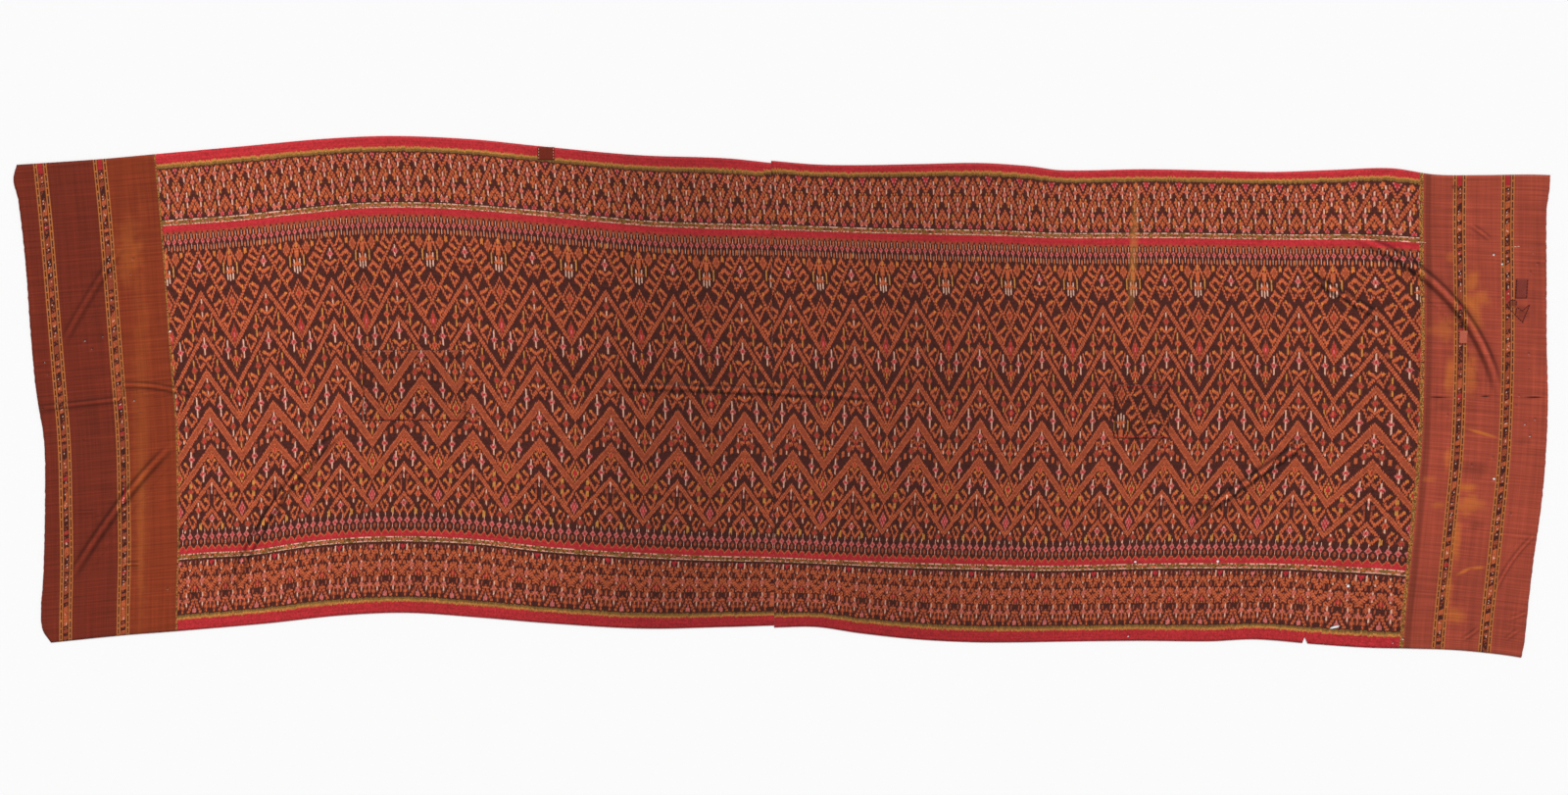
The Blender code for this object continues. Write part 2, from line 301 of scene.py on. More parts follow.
def dye(red, green, blue):
    """A colour from its screen values, as the shader's linear ones."""
    return tuple(((c / 255 + 0.055) / 1.055) ** 2.4 if c > 10 else c / 3294.6 for c in (red, green, blue))


def colour_property(name, description, screen):
    return FloatVectorProperty(
        name=name,
        description=description,
        subtype="COLOR",
        size=3,
        min=0,
        max=1,
        default=dye(*screen),
    )


class SampotDyes(PropertyGroup):
    """The dyes of the weft and the warp."""

    ground: colour_property("Ground", "Aubergine ground of the field", (68, 31, 25))
    rust: colour_property("Rust", "Body of the chevrons", (146, 66, 42))
    orange: colour_property("Orange", "Bright edges and motifs", (178, 86, 50))
    crimson: colour_property("Crimson", "Stripes and motif cores", (166, 40, 44))
    pink: colour_property("Pink", "Pale red motifs", (184, 96, 88))
    cream: colour_property("Cream", "Undyed flecks", (204, 156, 134))
    olive: colour_property("Olive", "Green-brown bands", (118, 84, 40))
    gold: colour_property("Gold", "Yellow weft", (180, 118, 56))
    amber: colour_property("Amber", "Bright tips of the curls", (190, 106, 48))
    thread: colour_property("Thread", "Dark sewing thread", (84, 32, 28))
    # The edge dye also serves as the painted shade beside the right panel's edge line
    edge: colour_property("Edge", "Dark line round each motif", (96, 42, 28))
    left_panel: colour_property("Left panel", "Plain end of the left length", (118, 42, 26))
    bleach: colour_property("Bleach", "Orange stains on the end panels", (192, 104, 46))
    left_faded: colour_property("Left panel, faded", "The left end beside the field", (142, 56, 27))
    stripe_darn: colour_property("Stripe darn", "Pale darning on a stripe", (190, 98, 76))
    end_darn: colour_property("End darn", "Dark darning by the cut end", (132, 58, 48))
    right_panel: colour_property("Right panel", "Plain end of the right length", (170, 73, 54))


class SampotCloth(PropertyGroup):
    """Sizes of the woven shells."""

    pitch: FloatProperty(
        name="Shell pitch", description="Spacing of the points", default=5.4 * MM, unit="LENGTH"
    )
    thickness: FloatProperty(
        name="Thickness", description="Thickness of the silk", default=0.6 * MM, unit="LENGTH"
    )
    rumple: FloatProperty(
        name="Rumple", description="Height of the soft unevenness", default=0.7 * MM, unit="LENGTH"
    )
    fray: FloatProperty(
        name="Fray", description="Unevenness of the cut ends", default=1.2 * MM, unit="LENGTH"
    )


class SampotStudio(PropertyGroup):
    """Camera and light."""

    lens: FloatProperty(name="Lens", description="Focal length in millimetres", default=50.0)
    distance: FloatProperty(
        name="Distance", description="From the cloth's middle", default=4.22, unit="LENGTH"
    )
    tilt: FloatProperty(
        name="Tilt", description="Lean away from straight above", default=math.radians(9.5), unit="ROTATION"
    )
    floor: colour_property("Floor", "Pale floor", (250, 250, 250))
    daylight: FloatProperty(name="Daylight", description="Strength of the even light", default=0.6)
    lamp: FloatProperty(name="Lamp", description="Strength of the far lamp", default=2.05)
    softness: FloatProperty(
        name="Softness", description="Spread of the far lamp", default=math.radians(14), unit="ROTATION"
    )


def smooth_read(keys, values, at):
    """Values between rows on a smooth curve through all of them, for an array of places."""
    keys = np.asarray(keys, float)
    values = np.asarray(values, float)
    at = np.clip(np.asarray(at, float), keys[0], keys[-1])
    right = np.clip(np.searchsorted(keys, at), 1, len(keys) - 1)
    left = right - 1
    before = np.maximum(np.arange(len(keys)) - 1, 0)
    after = np.minimum(np.arange(len(keys)) + 1, len(keys) - 1)
    slope = (values[after] - values[before]) / (keys[after] - keys[before])
    span = keys[right] - keys[left]
    share = (at - keys[left]) / span
    rest = 1 - share
    ends = values[left] * (1 + 2 * share) * rest**2 + values[right] * (3 - 2 * share) * share**2
    bend = slope[left] * share * rest**2 - slope[right] * rest * share**2
    return ends + bend * span


def column(rows, name):
    return [getattr(row, name) for row in rows]


def read_rows(rows, key, name, at):
    return smooth_read(column(rows, key), column(rows, name), at)


def selvages_of(length):
    return LEFT_SELVAGES if length == "left_length" else RIGHT_SELVAGES


def cloth_place(length, along_share, width_share):
    """Millimetres along and across, from shares of the length and the width."""
    join = read_rows(ENDS, "share", "join", width_share)
    if length == "left_length":
        start = read_rows(ENDS, "share", "left", width_share)
        stop = join - JOIN_GAP / 2
    else:
        start = join + JOIN_GAP / 2
        stop = read_rows(ENDS, "share", "right", width_share)
    along = start + (stop - start) * along_share
    rows = selvages_of(length)
    lower = read_rows(rows, "along", "lower", along)
    upper = read_rows(rows, "along", "upper", along)
    return along, lower + (upper - lower) * width_share


def tie_at(length, along, across):
    """The tie that a place lies on, counted from the upper selvage."""
    rows = selvages_of(length)
    upper = read_rows(rows, "along", "upper", along)
    lower = read_rows(rows, "along", "lower", along)
    stripe = read_rows(WARPS, "along", "stripe", along)
    scallop = read_rows(WARPS, "along", "scallop", along)
    over = STRIPE_TIE * (upper - across) / (upper - stripe)
    between = STRIPE_TIE + (SCALLOP_TIE - STRIPE_TIE) * (stripe - across) / (stripe - scallop)
    under = SCALLOP_TIE + (TIES - SCALLOP_TIE) * (scallop - across) / (scallop - lower)
    return np.where(across > stripe, over, np.where(across > scallop, between, under))


def woven_place(length, along, across):
    """The straightened place along the cloth in millimetres, the turn of the repeat, and the tie."""
    tie = tie_at(length, along, across)
    side = "left" if length == "left_length" else "right"
    straight = along - read_rows(BOWS, "tie", side, tie)
    turns = LEFT_TURNS if length == "left_length" else RIGHT_TURNS
    turn = np.interp(straight, column(turns, "along"), column(turns, "number"))
    return straight, turn, tie


def crease_line(crease):
    """Points on the parabola through the crease's start, middle and end."""
    share = np.linspace(0, 1, CREASE_SAMPLES + 1)[:, None]
    start, middle, end = (np.array(place, float) for place in crease[:3])
    return (
        start * (2 * share**2 - 3 * share + 1)
        + middle * (4 * share - 4 * share**2)
        + end * (2 * share**2 - share)
    )


def crease_rise(along, across):
    """The creases' lift in millimetres, with the side of the nearest one and the strength of its painted
    shade.
    """
    here = np.stack([along, across], axis=-1)
    rise = np.zeros(along.shape)
    side = np.full(along.shape, PLAIN_SIDE)
    shade = np.zeros(along.shape)
    for crease in CREASES:
        points = crease_line(crease)
        for i in range(CREASE_SAMPLES):
            step = points[i + 1] - points[i]
            on_step = np.clip(((here - points[i]) @ step) / (step @ step), 0, 1)
            away = here - points[i] - on_step[..., None] * step
            turn = np.sign(step[0] * away[..., 1] - step[1] * away[..., 0])
            away = np.hypot(away[..., 0], away[..., 1]) / crease.half_width
            share = (i + on_step) / CREASE_SAMPLES
            taper = np.minimum(np.minimum(share, 1 - share), CREASE_TAPER) / CREASE_TAPER
            broad = np.cos(np.clip(away, 0, 1) * math.pi / 2) ** 2
            crest = np.cos(np.clip(away / CREST_SHARE, 0, 1) * math.pi / 2) ** 2
            bump = (BROAD_WEIGHT * broad + CREST_WEIGHT * crest) * np.sin(taper * math.pi / 2)
            rise = np.maximum(rise, crease.height * bump)
            near = (away < np.abs(side)) & (away < PLAIN_SIDE)
            side = np.where(near, away * turn, side)
            shade = np.where(near, crease.shade * np.sin(taper * math.pi / 2), shade)
    return rise, side, shade


def cloth_height(along, across, rumple):
    """The silk's height in metres over the floor, with the side of the nearest crease and the strength of its
    painted shade.
    """
    rise, side, shade = crease_rise(along, across)
    soft = np.array([rumple_at(x, y) for x, y in zip(along, across)])
    return rise * MM + soft * rumple, side, shade


def rumple_at(along, across):
    """A soft unevenness between 0 and 1, the same each time."""
    return 0.5 + 0.5 * noise.noise(Vector((along / RUMPLE_SPAN, across / RUMPLE_SPAN, RUMPLE_SEED)))


class Chart:
    """A dyer's chart: bundles of weft from one fold to the next, each with the colour of every half tie."""

    # Cells in a tie, the ties that one ramp covers, and the stretches that it can hold
    STEPS = 2
    SPAN = 62.0
    LIMIT = 31

    def __init__(self, name, bundles, width, first, last, fill="ground"):
        self.name = name
        self.bundles = bundles
        self.width = width
        self.first = first
        self.last = last
        rows = round((last - first) * self.STEPS)
        across = np.arange(bundles) * width / (bundles - 1)
        down = first + (np.arange(rows) + 0.5) / self.STEPS
        self.across, self.down = np.meshgrid(across, down, indexing="ij")
        self.colours = np.full((bundles, rows), fill, dtype=object)

    def paint(self, inside, colour):
        self.colours[inside] = colour

    def diamond(self, across, down, wide, tall, colour):
        """A diamond of that half width and half height."""
        x = np.abs(self.across - across) / wide
        y = np.abs(self.down - down) / tall
        self.paint(x + y < 1, colour)

    def oval(self, across, down, wide, tall, colour):
        x = (self.across - across) / wide
        y = (self.down - down) / tall
        self.paint(x**2 + y**2 < 1, colour)

    def dash(self, across, start, stop, colour, wide=0.72):
        x = np.abs(self.across - across)
        self.paint((x < wide) & (self.down >= start) & (self.down < stop), colour)

    def line(self, start, stop, thick, colour):
        """A sloping stroke between two places, of that thickness along the bundles."""
        span = stop[0] - start[0]
        share = (self.across - start[0]) / span
        middle = start[1] + (stop[1] - start[1]) * share
        reach = 0.5 / abs(span)
        inside = (share > -reach) & (share < 1 + reach) & (np.abs(self.down - middle) < thick / 2)
        self.paint(inside, colour)

    def stretches(self, bundle, start, stop):
        """The dyed stretches of one bundle between two ties, the shortest merged past the limit."""
        low, high = (round((place - self.first) * self.STEPS) for place in (start, stop))
        cells = self.colours[bundle, max(low, 0) : high]
        found = []
        for i, colour in enumerate(cells):
            if not found or found[-1][1] != colour:
                found.append([i, colour])
        while len(found) > self.LIMIT:
            lengths = [b[0] - a[0] for a, b in zip(found, found[1:])] + [len(cells) - found[-1][0]]
            found.pop(max(1, lengths.index(min(lengths))))
        return [(i / max(len(cells), 1), colour) for i, colour in found]


# Bands of the field, by their middle at the peak line and at the foot line
Chevron = namedtuple("Chevron", "apex foot thick")
CHEVRONS = table(
    Chevron,
    (3.2, 68.2, 4.6), (45.6, 99.0, 5.8), (85.2, 139.0, 5.6), (125.0, 174.8, 8.0), (164.8, 211.5, 11.0),
    (201.5, 245.0, 8.6), (234.6, 278.0, 5.8),
)

# Strokes: places across from the peak line and down from the top of the field, and their thickness
Stroke = namedtuple("Stroke", "thick places")
STROKES = table(
    Stroke,
    (4.2, ((33.6, 2), (29, 11.5), (25.8, 20))), (2.6, ((33.6, 41), (27, 54.3), (33.6, 67))),
    (3.2, ((27.4, 108), (33.6, 124))), (4.2, ((33.6, 141), (26.4, 152.5), (33.6, 168.5))),
    (4.0, ((33.6, 182.5), (27, 193))), (4.6, ((0, 264.5), (9.6, 277))),
    (3.8, ((8, 279.5), (4.4, 285), (0.8, 279))),
)

# Curls: a stroke that turns back on itself and ends in a bright tip
Curl = namedtuple("Curl", "arm turn corner tip")
CURLS = table(
    Curl,
    ((4.6, 12), (9.8, 3), (14.5, 9.5), (9.2, 14)), ((8.6, 24), (16.3, 15.5), (20.6, 21.5), (16.2, 27)),
    ((16.6, 36.5), (23.5, 28.8), (27.8, 35.5), (22.6, 41)),
    ((16.8, 36.7), (11.6, 50.5), (6.6, 44.2), (12.6, 39)),
    ((23.8, 54.5), (18.6, 65.5), (13.8, 58), (20.2, 53)),
    ((32.4, 69), (27, 80.5), (21.4, 73.2), (28, 67.6)),
    ((22.9, 92), (18.2, 104.8), (12.6, 96), (19, 90.4)),
    ((23, 129.5), (18.5, 140), (14.2, 134), (19.4, 129.6)),
    ((24.2, 169.5), (18.9, 179), (14.4, 172), (18.8, 166.6)),
    ((32, 220.5), (27.6, 230), (23.6, 222), (27.4, 216.6)),
    ((21, 236), (14.9, 246.5), (10.5, 239), (15.6, 234)),
    ((32, 252.5), (26, 263.5), (22, 256), (27.3, 250)),
    ((12.5, 256), (6.4, 265.5), (2.6, 259.5), (6.6, 254.2)),
    ((24.7, 272), (20.2, 284), (16.3, 277.5), (20, 272)),
)

# Folds under each peak: their outer top, foot, middle and bright tip
Fold = namedtuple("Fold", "top foot middle tip")
FOLDS = table(
    Fold,
    ((8.8, 25), (4.2, 36), (0, 28.4), (4.8, 25)), ((10.2, 67), (5.4, 80), (0, 70.6), (5.3, 66.6)),
    ((10, 108.5), (5.4, 121), (0, 113), (5.4, 108.8)),
    ((9.8, 144.8), (5.4, 156.2), (0, 149), (5.3, 145)),
    ((6.6, 185.6), (3.6, 193.6), (0, 188), (4, 183)),
    ((7, 218.6), (4, 225.6), (0, 219.4), (3.2, 214.4)),
)

# Stars on a fleck: their place, the reach of the fleck, its colour and the body's
Star = namedtuple("Star", "across down reach fleck body")
STARS = table(
    Star,
    (0, 17.5, 5.5, "cream", "pink"), (0, 59.3, 9, "cream", "rust"), (0, 98, 9, "cream", "pink"),
    (0, 139.2, 8, "cream", "rust"), (0, 177.6, 6.5, "cream", "pink"), (0, 210.5, 4, "gold", "orange"),
    (11.8, 82, 10.4, "gold", "orange"), (12.3, 122, 10, "gold", "rust"),
    (12, 159.8, 10.6, "cream", "pink"), (7, 194.5, 7.4, "cream", "rust"),
    (9, 228.3, 8, "cream", "pink"), (20.6, 212.6, 8, "cream", "pink"),
    (25.3, 103, 9.6, "cream", "pink"), (25.5, 144, 7.8, "gold", "rust"),
    (25, 181.2, 10, "cream", "rust"), (21.7, 245.4, 8, "gold", "rust"), (14, 265, 8, "cream", "orange"),
    (27.6, 281.5, 6, "cream", "rust"), (33.6, 112.4, 8.6, "gold", "orange"),
    (33.6, 152.6, 8, "cream", "crimson"), (33.6, 194.3, 9.4, "gold", "orange"),
    (0, 274, 2, "cream", "pink"),
)

# Diamonds in rings: their place, half sizes and colours
Diamond = namedtuple("Diamond", "across down wide tall rim core")
DIAMONDS = table(
    Diamond,
    (23.5, 9, 4, 7, "orange", "rust"), (33.6, 54.3, 3.6, 7.0, "orange", "rust"),
    (33.6, 87.5, 3.6, 9.5, "rust", "crimson"), (33.6, 231, 3.7, 7.4, "gold", "crimson"),
    (33.6, 265.4, 3.7, 7.4, "pink", "crimson"),
)

# Small seeds: their place, half sizes and colour
Seed = namedtuple("Seed", "across down wide tall colour")
SEEDS = table(
    Seed,
    (33.6, 4.8, 1.2, 2.6, "gold"), (17.8, 5.4, 1.7, 3.2, "amber"), (2.9, -2, 1.3, 3, "gold"),
    (33.6, 13.4, 2.4, 5.4, "orange"), (26.6, 21.5, 0.72, 5.5, "gold"), (30.8, 26.5, 0.72, 6.5, "cream"),
    (30.8, 25.5, 1.5, 1.4, "orange"), (33.6, 24.5, 1.5, 5.5, "orange"), (33.6, 31, 0.72, 3.4, "cream"),
    (33.6, 54.4, 0.8, 2, "crimson"), (33.6, 88, 0.8, 2, "pink"), (8.4, 90, 1.7, 2.4, "rust"),
    (27.6, 194.4, 1, 1.6, "cream"), (4, 184, 1.3, 2.4, "rust"), (0, 188.4, 1.2, 1.8, "crimson"),
    (13.4, 199.6, 1.9, 3.2, "orange"), (19.4, 203.2, 1.7, 2.8, "rust"), (0, 240, 0.8, 3, "cream"),
    (0, 243.4, 1.4, 1.2, "pink"), (0, 246.6, 0.8, 1.8, "cream"), (3.5, 247, 1.4, 3, "rust"),
    (2.8, 254, 0.9, 3.4, "rust"), (11.4, 282.4, 1.6, 3.8, "gold"), (33.6, 265.6, 1, 1.4, "pink"),
)

# The borders' motifs, in ties from the peak or foot line and from the upper selvage
UPPER_STROKES = table(
    Stroke,
    (6.4, ((0, 18.5), (16.8, 55))), (5.2, ((0, 49), (7.8, 62))), (4.8, ((16.8, 29.5), (11, 18.5))),
)
UPPER_STARS = table(
    Star,
    (0, 31, 7.5, "cream", "pink"), (8.9, 24, 7, "cream", "pink"), (14.4, 35, 4.5, "gold", "orange"),
    (16.8, 42, 7.5, "cream", "pink"), (4.2, 39, 5.5, "gold", "orange"), (7.4, 48.5, 8, "cream", "pink"),
    (11.8, 57, 5, "gold", "orange"), (0, 58.5, 4, "gold", "orange"), (14.6, 63, 4, "cream", "pink"),
    (5.8, 17, 4, "gold", "orange"),
)
LOWER_STROKES = table(
    Stroke,
    (4.8, ((16.8, 422), (1, 444))), (4.8, ((16.8, 434), (6, 450))), (5.2, ((16.8, 454), (10.2, 468))),
    (4.6, ((0, 443), (5, 436))), (4.6, ((0, 430), (5.6, 420))),
)
LOWER_STARS = table(
    Star,
    (8.6, 455, 7.2, "cream", "pink"), (16.8, 443, 4, "gold", "crimson"),
    (11.6, 421, 5, "cream", "orange"), (10, 436, 5, "cream", "pink"), (4.4, 463, 6, "orange", "rust"),
    (0, 456, 8, "orange", "pink"),
)


def paint_stroke(chart, stroke):
    """A bent band: a dark line round it, bright edges and a rust core."""
    for grow, colour in ((2.8, "thread"), (0, "orange"), (-3.4, "rust")):
        if stroke.thick + grow > 1:
            for start, stop in zip(stroke.places, stroke.places[1:]):
                chart.line(start, stop, stroke.thick + grow, colour)


def paint_hook(chart, hook, thick, thin):
    """A curl or a fold: a bent stroke that turns back, thinner, to a bright tip."""
    *bent, tip = hook
    paint_stroke(chart, Stroke(thick, bent))
    paint_stroke(chart, Stroke(thin, (bent[-1], tip)))
    chart.diamond(*tip, 1.9, 2.0, "amber")


def paint_star(chart, star, size=1.0):
    """A star on a long fleck, pale round its rim when its body is."""
    across, down, reach, fleck, body = star
    chart.diamond(across, down, 4.0 * size, 5.2 * size, "edge")
    chart.dash(across, down - reach, down + reach, "edge", 1.5)
    chart.dash(across, down - reach, down + reach, fleck)
    chart.diamond(across, down, 3.2 * size, 4.2 * size, body)
    if body == "pink" and size == 1.0:
        chart.dash(across, down - 4.2, down + 4.2, "cream")
    chart.diamond(across, down, 1.6, 1.9, "orange" if body == "crimson" or size < 1 else "crimson")


def paint_lattice(chart, top, bottom):
    """Rows of small tied seeds that fill a border between its motifs."""
    for row, down in enumerate(np.arange(top, bottom, 5.6)):
        for across in np.arange(4.2 * (row % 2) / 2, HALF_REPEAT + 1, 4.2):
            chart.oval(across, down, 1.1, 2.3, "orange" if row % 2 else "rust")


def paint_diamond(chart, diamond):
    across, down, wide, tall, rim, core = diamond
    chart.diamond(across, down, wide + 1, tall + 2, "edge")
    chart.diamond(across, down, wide, tall, rim)
    chart.diamond(across, down, wide - 1.3, tall - 2.6, core)


def field_chart():
    """Half a repeat of the field, from a peak to a foot of the chevrons."""
    chart = Chart("field", BUNDLES + 1, HALF_REPEAT, -4, 300)
    for stroke in STROKES:
        paint_stroke(chart, stroke)
    for curl in CURLS:
        paint_hook(chart, curl, 4.2, 3.6)
    for fold in FOLDS:
        paint_hook(chart, fold, 4.4, 3.4)
    for apex, foot, thick in CHEVRONS:
        paint_stroke(chart, Stroke(thick, ((0, apex), (HALF_REPEAT, foot))))
    for diamond in DIAMONDS:
        paint_diamond(chart, diamond)
    for star in STARS:
        paint_star(chart, star)
    for seed in SEEDS:
        chart.oval(*seed)
    return chart


def upper_border_chart():
    middle = HALF_REPEAT / 2
    chart = Chart("upper_border", BUNDLES // 2 + 1, middle, 13, 68)
    for stroke in UPPER_STROKES:
        paint_stroke(chart, stroke)
    for star in UPPER_STARS:
        paint_star(chart, star, 0.8)
    chart.diamond(middle, 15, 3.4, 7, "pink")
    chart.diamond(middle, 15, 2.4, 5.2, "crimson")
    chart.diamond(4.2, 65, 2.6, 3.6, "pink")
    chart.diamond(4.2, 65, 1.6, 2.2, "crimson")
    return chart


def lower_border_chart():
    """The border under the scallops, with a crimson box at each peak line."""
    chart = Chart("lower_border", BUNDLES + 1, HALF_REPEAT, 412, 470)
    middle = HALF_REPEAT / 2
    paint_lattice(chart, 417, 467)
    for stroke in LOWER_STROKES:
        paint_stroke(chart, stroke)
        far = tuple((HALF_REPEAT - across, down) for across, down in stroke.places)
        paint_stroke(chart, Stroke(stroke.thick, far))
    chart.oval(middle, 450, 3, 2.4, "ground")
    for star in LOWER_STARS:
        paint_star(chart, star, 0.8)
        paint_star(chart, star._replace(across=HALF_REPEAT - star.across), 0.8)
    chart.diamond(middle, 466, 2.6, 4.0, "pink")
    chart.diamond(0, 415, 3.4, 5, "crimson")
    chart.dash(4.2, 414, 421, "cream")
    chart.diamond(HALF_REPEAT, 417, 2.4, 4, "pink")
    return chart


def upper_rail_chart():
    """A comb of flecks and small stars under the crimson stripe."""
    chart = Chart("upper_rail", 6, 2.95, 80, 101, "bare")
    chart.paint((chart.down < 83) & (chart.across > 1), "rust")
    chart.oval(2.95, 85.5, 0.9, 2.8, "orange")
    chart.dash(0, 82.4, 98.4, "cream", 0.4)
    chart.diamond(0, 90, 2.1, 3.6, "pink")
    chart.dash(0, 88.8, 91.2, "crimson", 0.7)
    chart.oval(2.95, 97, 0.9, 2.8, "orange")
    return chart


def lower_rail_chart():
    """Stars on long flecks, standing on crimson scallops."""
    chart = Chart("lower_rail", 7, 3.8, 382, 408, "bare")
    chart.dash(0, 382.5, 400.5, "cream", 0.4)
    chart.diamond(0, 390.4, 2.8, 4.2, "pink")
    chart.dash(0, 389.4, 391.4, "crimson", 0.8)
    chart.oval(3.8, 395.4, 1.3, 2.6, "rust")
    chart.paint(chart.down > 398 + chart.across * 1.3, "orange")
    chart.paint(chart.down > 399.5 + chart.across * 1.3, "crimson")
    return chart


class Value:
    """A socket of a material that can be used in sums, as a number can."""

    def __init__(self, finish, socket):
        self.finish = finish
        self.socket = socket

    def math(self, operation, *others):
        return self.finish.node("Math", {"operation": operation}, self, *others)

    def __rsub__(self, other):
        return self.finish.node("Math", {"operation": "SUBTRACT"}, other, self)

    def equals(self, number, margin=0.5):
        return self.math("COMPARE", number, margin)

    __add__ = __radd__ = partialmethod(math, "ADD")
    __mul__ = __rmul__ = partialmethod(math, "MULTIPLY")
    __sub__ = partialmethod(math, "SUBTRACT")
    __truediv__ = partialmethod(math, "DIVIDE")
    __gt__ = partialmethod(math, "GREATER_THAN")
    __lt__ = partialmethod(math, "LESS_THAN")
    floor = partialmethod(math, "FLOOR")
    size = partialmethod(math, "ABSOLUTE")
    fraction = partialmethod(math, "FRACT")
    # Runs to and fro between 0 and a span
    fold = partialmethod(math, "PINGPONG")


class Weave:
    """A tree of nodes, with one method that makes them."""

    # An oval's soft edge, in shares of its size, and the noise that wears it
    OVAL_EDGE = (1.3, 0.2)
    OVAL_NOISE = (45.0, 5.0)

    def __init__(self, tree):
        self.tree = tree

    def node(self, kind, settings, *inputs, out=0):
        """One node: its settings first, then its sockets in order or by name."""
        made = self.tree.nodes.new(kind if kind.startswith("Node") else "ShaderNode" + kind)
        for name, value in settings.items():
            if name == "stops":
                self.set_stops(made.color_ramp, *value)
            else:
                setattr(made, name, value)
        sockets = inputs[0] if inputs and isinstance(inputs[0], dict) else dict(enumerate(inputs))
        for key, value in sockets.items():
            if isinstance(value, Value):
                self.tree.links.new(value.socket, made.inputs[key])
            else:
                made.inputs[key].default_value = value
        return Value(self, made.outputs[out]) if len(made.outputs) else None

    @staticmethod
    def set_stops(ramp, kind, stops):
        """All stops at once, which leaves the tree to update a single time."""
        for _ in range(len(stops) - len(ramp.elements)):
            ramp.elements.new(1.0)
        for _ in range(len(ramp.elements) - len(stops)):
            ramp.elements.remove(ramp.elements[-1])
        ramp.elements.foreach_set("position", [place for place, _ in stops])
        ramp.elements.foreach_set("color", [part for _, colour in stops for part in colour])
        ramp.interpolation = kind

    def ramp(self, value, *stops, smooth=False):
        kind = "LINEAR" if smooth else "CONSTANT"
        return self.node("ValToRGB", {"stops": (kind, stops)}, value)

    def mix(self, share, low, high, blend="MIX"):
        settings = {"data_type": "RGBA", "blend_type": blend}
        return self.node("Mix", settings, {0: share, 6: low, 7: high}, out=2)

    def light(self, colour, amount):
        """The colour made brighter or darker."""
        return self.node("VectorMath", {"operation": "SCALE"}, {0: colour, "Scale": amount})

    def curve(self, value, keys, values):
        """A value read from a table, straight between its rows."""
        top = max(values)
        share = self.node("MapRange", {}, value, float(keys[0]), float(keys[-1]), 0.0, 1.0)
        rows = [((k - keys[0]) / (keys[-1] - keys[0]), (v / top,) * 3 + (1.0,)) for k, v in zip(keys, values)]
        return self.node("SeparateXYZ", {}, self.ramp(share, *rows, smooth=True)) * top

    def oval(self, place, along, across, long, wide, turn, ragged):
        """1 inside a turned oval on the cloth and 0 outside it, with a soft edge."""
        corner = (along * MM, across * MM, 0.0)
        angle = (0.0, 0.0, math.radians(turn))
        spread = (long * MM, wide * MM, 1.0)
        inside = self.node("Mapping", {"vector_type": "TEXTURE"}, place, corner, angle, spread)
        away = self.node("VectorMath", {"operation": "LENGTH"}, {0: inside}, out=1)
        away = away + (self.noise(place, *self.OVAL_NOISE, "3D") - 0.5) * ragged
        settings = {"interpolation_type": "SMOOTHSTEP"}
        return self.node("MapRange", settings, away, *self.OVAL_EDGE, 0.0, 1.0)

    def noise(self, place, scale, detail=2.0, size="2D"):
        settings = {"noise_dimensions": size}
        return self.node("TexNoise", settings, {"Vector": place, "Scale": scale, "Detail": detail})

    def scatter(self, *place):
        """A different number between 0 and 1 for each place."""
        if len(place) == 1:
            return self.node("TexWhiteNoise", {"noise_dimensions": "1D"}, {"W": place[0]})
        vector = self.node("CombineXYZ", {}, *place)
        return self.node("TexWhiteNoise", {"noise_dimensions": "2D"}, {"Vector": vector})

    def layer(self, name):
        """The two coordinates of a piece's own map."""
        uv = self.node("UVMap", {"uv_map": name})
        first = self.node("SeparateXYZ", {}, uv)
        return first, Value(self, first.socket.node.outputs[1])


class Finish(Weave):
    """A procedural material."""

    # Silk and thread gleam only a little
    SPECULAR = 0.12

    def __init__(self, name):
        self.material = bpy.data.materials.new(name)
        self.material.use_nodes = True
        super().__init__(self.material.node_tree)
        self.shader = self.tree.nodes["Principled BSDF"]
        self.shader.inputs["Specular IOR Level"].default_value = self.SPECULAR

    def surface(self, **values):
        for name, value in values.items():
            socket = self.shader.inputs[name.replace("_", " ")]
            if isinstance(value, Value):
                self.tree.links.new(value.socket, socket)
            else:
                socket.default_value = value


def opaque(colour):
    return (*colour, 1.0)


def opaque_dyes(dyes):
    """Every dye by its name, as the sockets take it."""
    return SimpleNamespace(**{name: opaque(getattr(dyes, name)) for name in SampotDyes.__annotations__})


# Numbers kept for the cells of one bundle, so that no part of another bundle can meet them
BUNDLE_CELLS = 64


def bundle_group(dyes, chart, bundle, parts, span):
    """The dyed stretches of one bundle as a node group: place in the part, cell and base in, colour out."""
    name = f"{chart.name}_{bundle}"
    tree = bpy.data.node_groups.new(name, "ShaderNodeTree")
    for socket, kind in (("Inside", "Float"), ("Cell", "Float"), ("Base", "Color")):
        tree.interface.new_socket(name=socket, in_out="INPUT", socket_type="NodeSocket" + kind)
    tree.interface.new_socket(name="Colour", in_out="OUTPUT", socket_type="NodeSocketColor")
    group = Weave(tree)
    inside = group.node("NodeGroupInput", {})
    cell, colour = (Value(group, inside.socket.node.outputs[i]) for i in (1, 2))
    for j in range(parts):
        stretches = chart.stretches(bundle, chart.first + j * span, chart.first + (j + 1) * span)
        if all(dyed == "bare" for _, dyed in stretches):
            continue
        bare = any(dyed == "bare" for _, dyed in stretches)
        stops = [
            (at, (0.0, 0.0, 0.0, 0.0) if dyed == "bare" else getattr(dyes, dyed))
            for at, dyed in stretches
        ]
        dyed = group.ramp(inside, *stops)
        there = cell.equals(bundle * BUNDLE_CELLS + j)
        if bare:
            there = there * Value(group, dyed.socket.node.outputs["Alpha"])
        colour = group.mix(there, colour, dyed)
    group.node("NodeGroupOutput", {}, colour)
    return tree


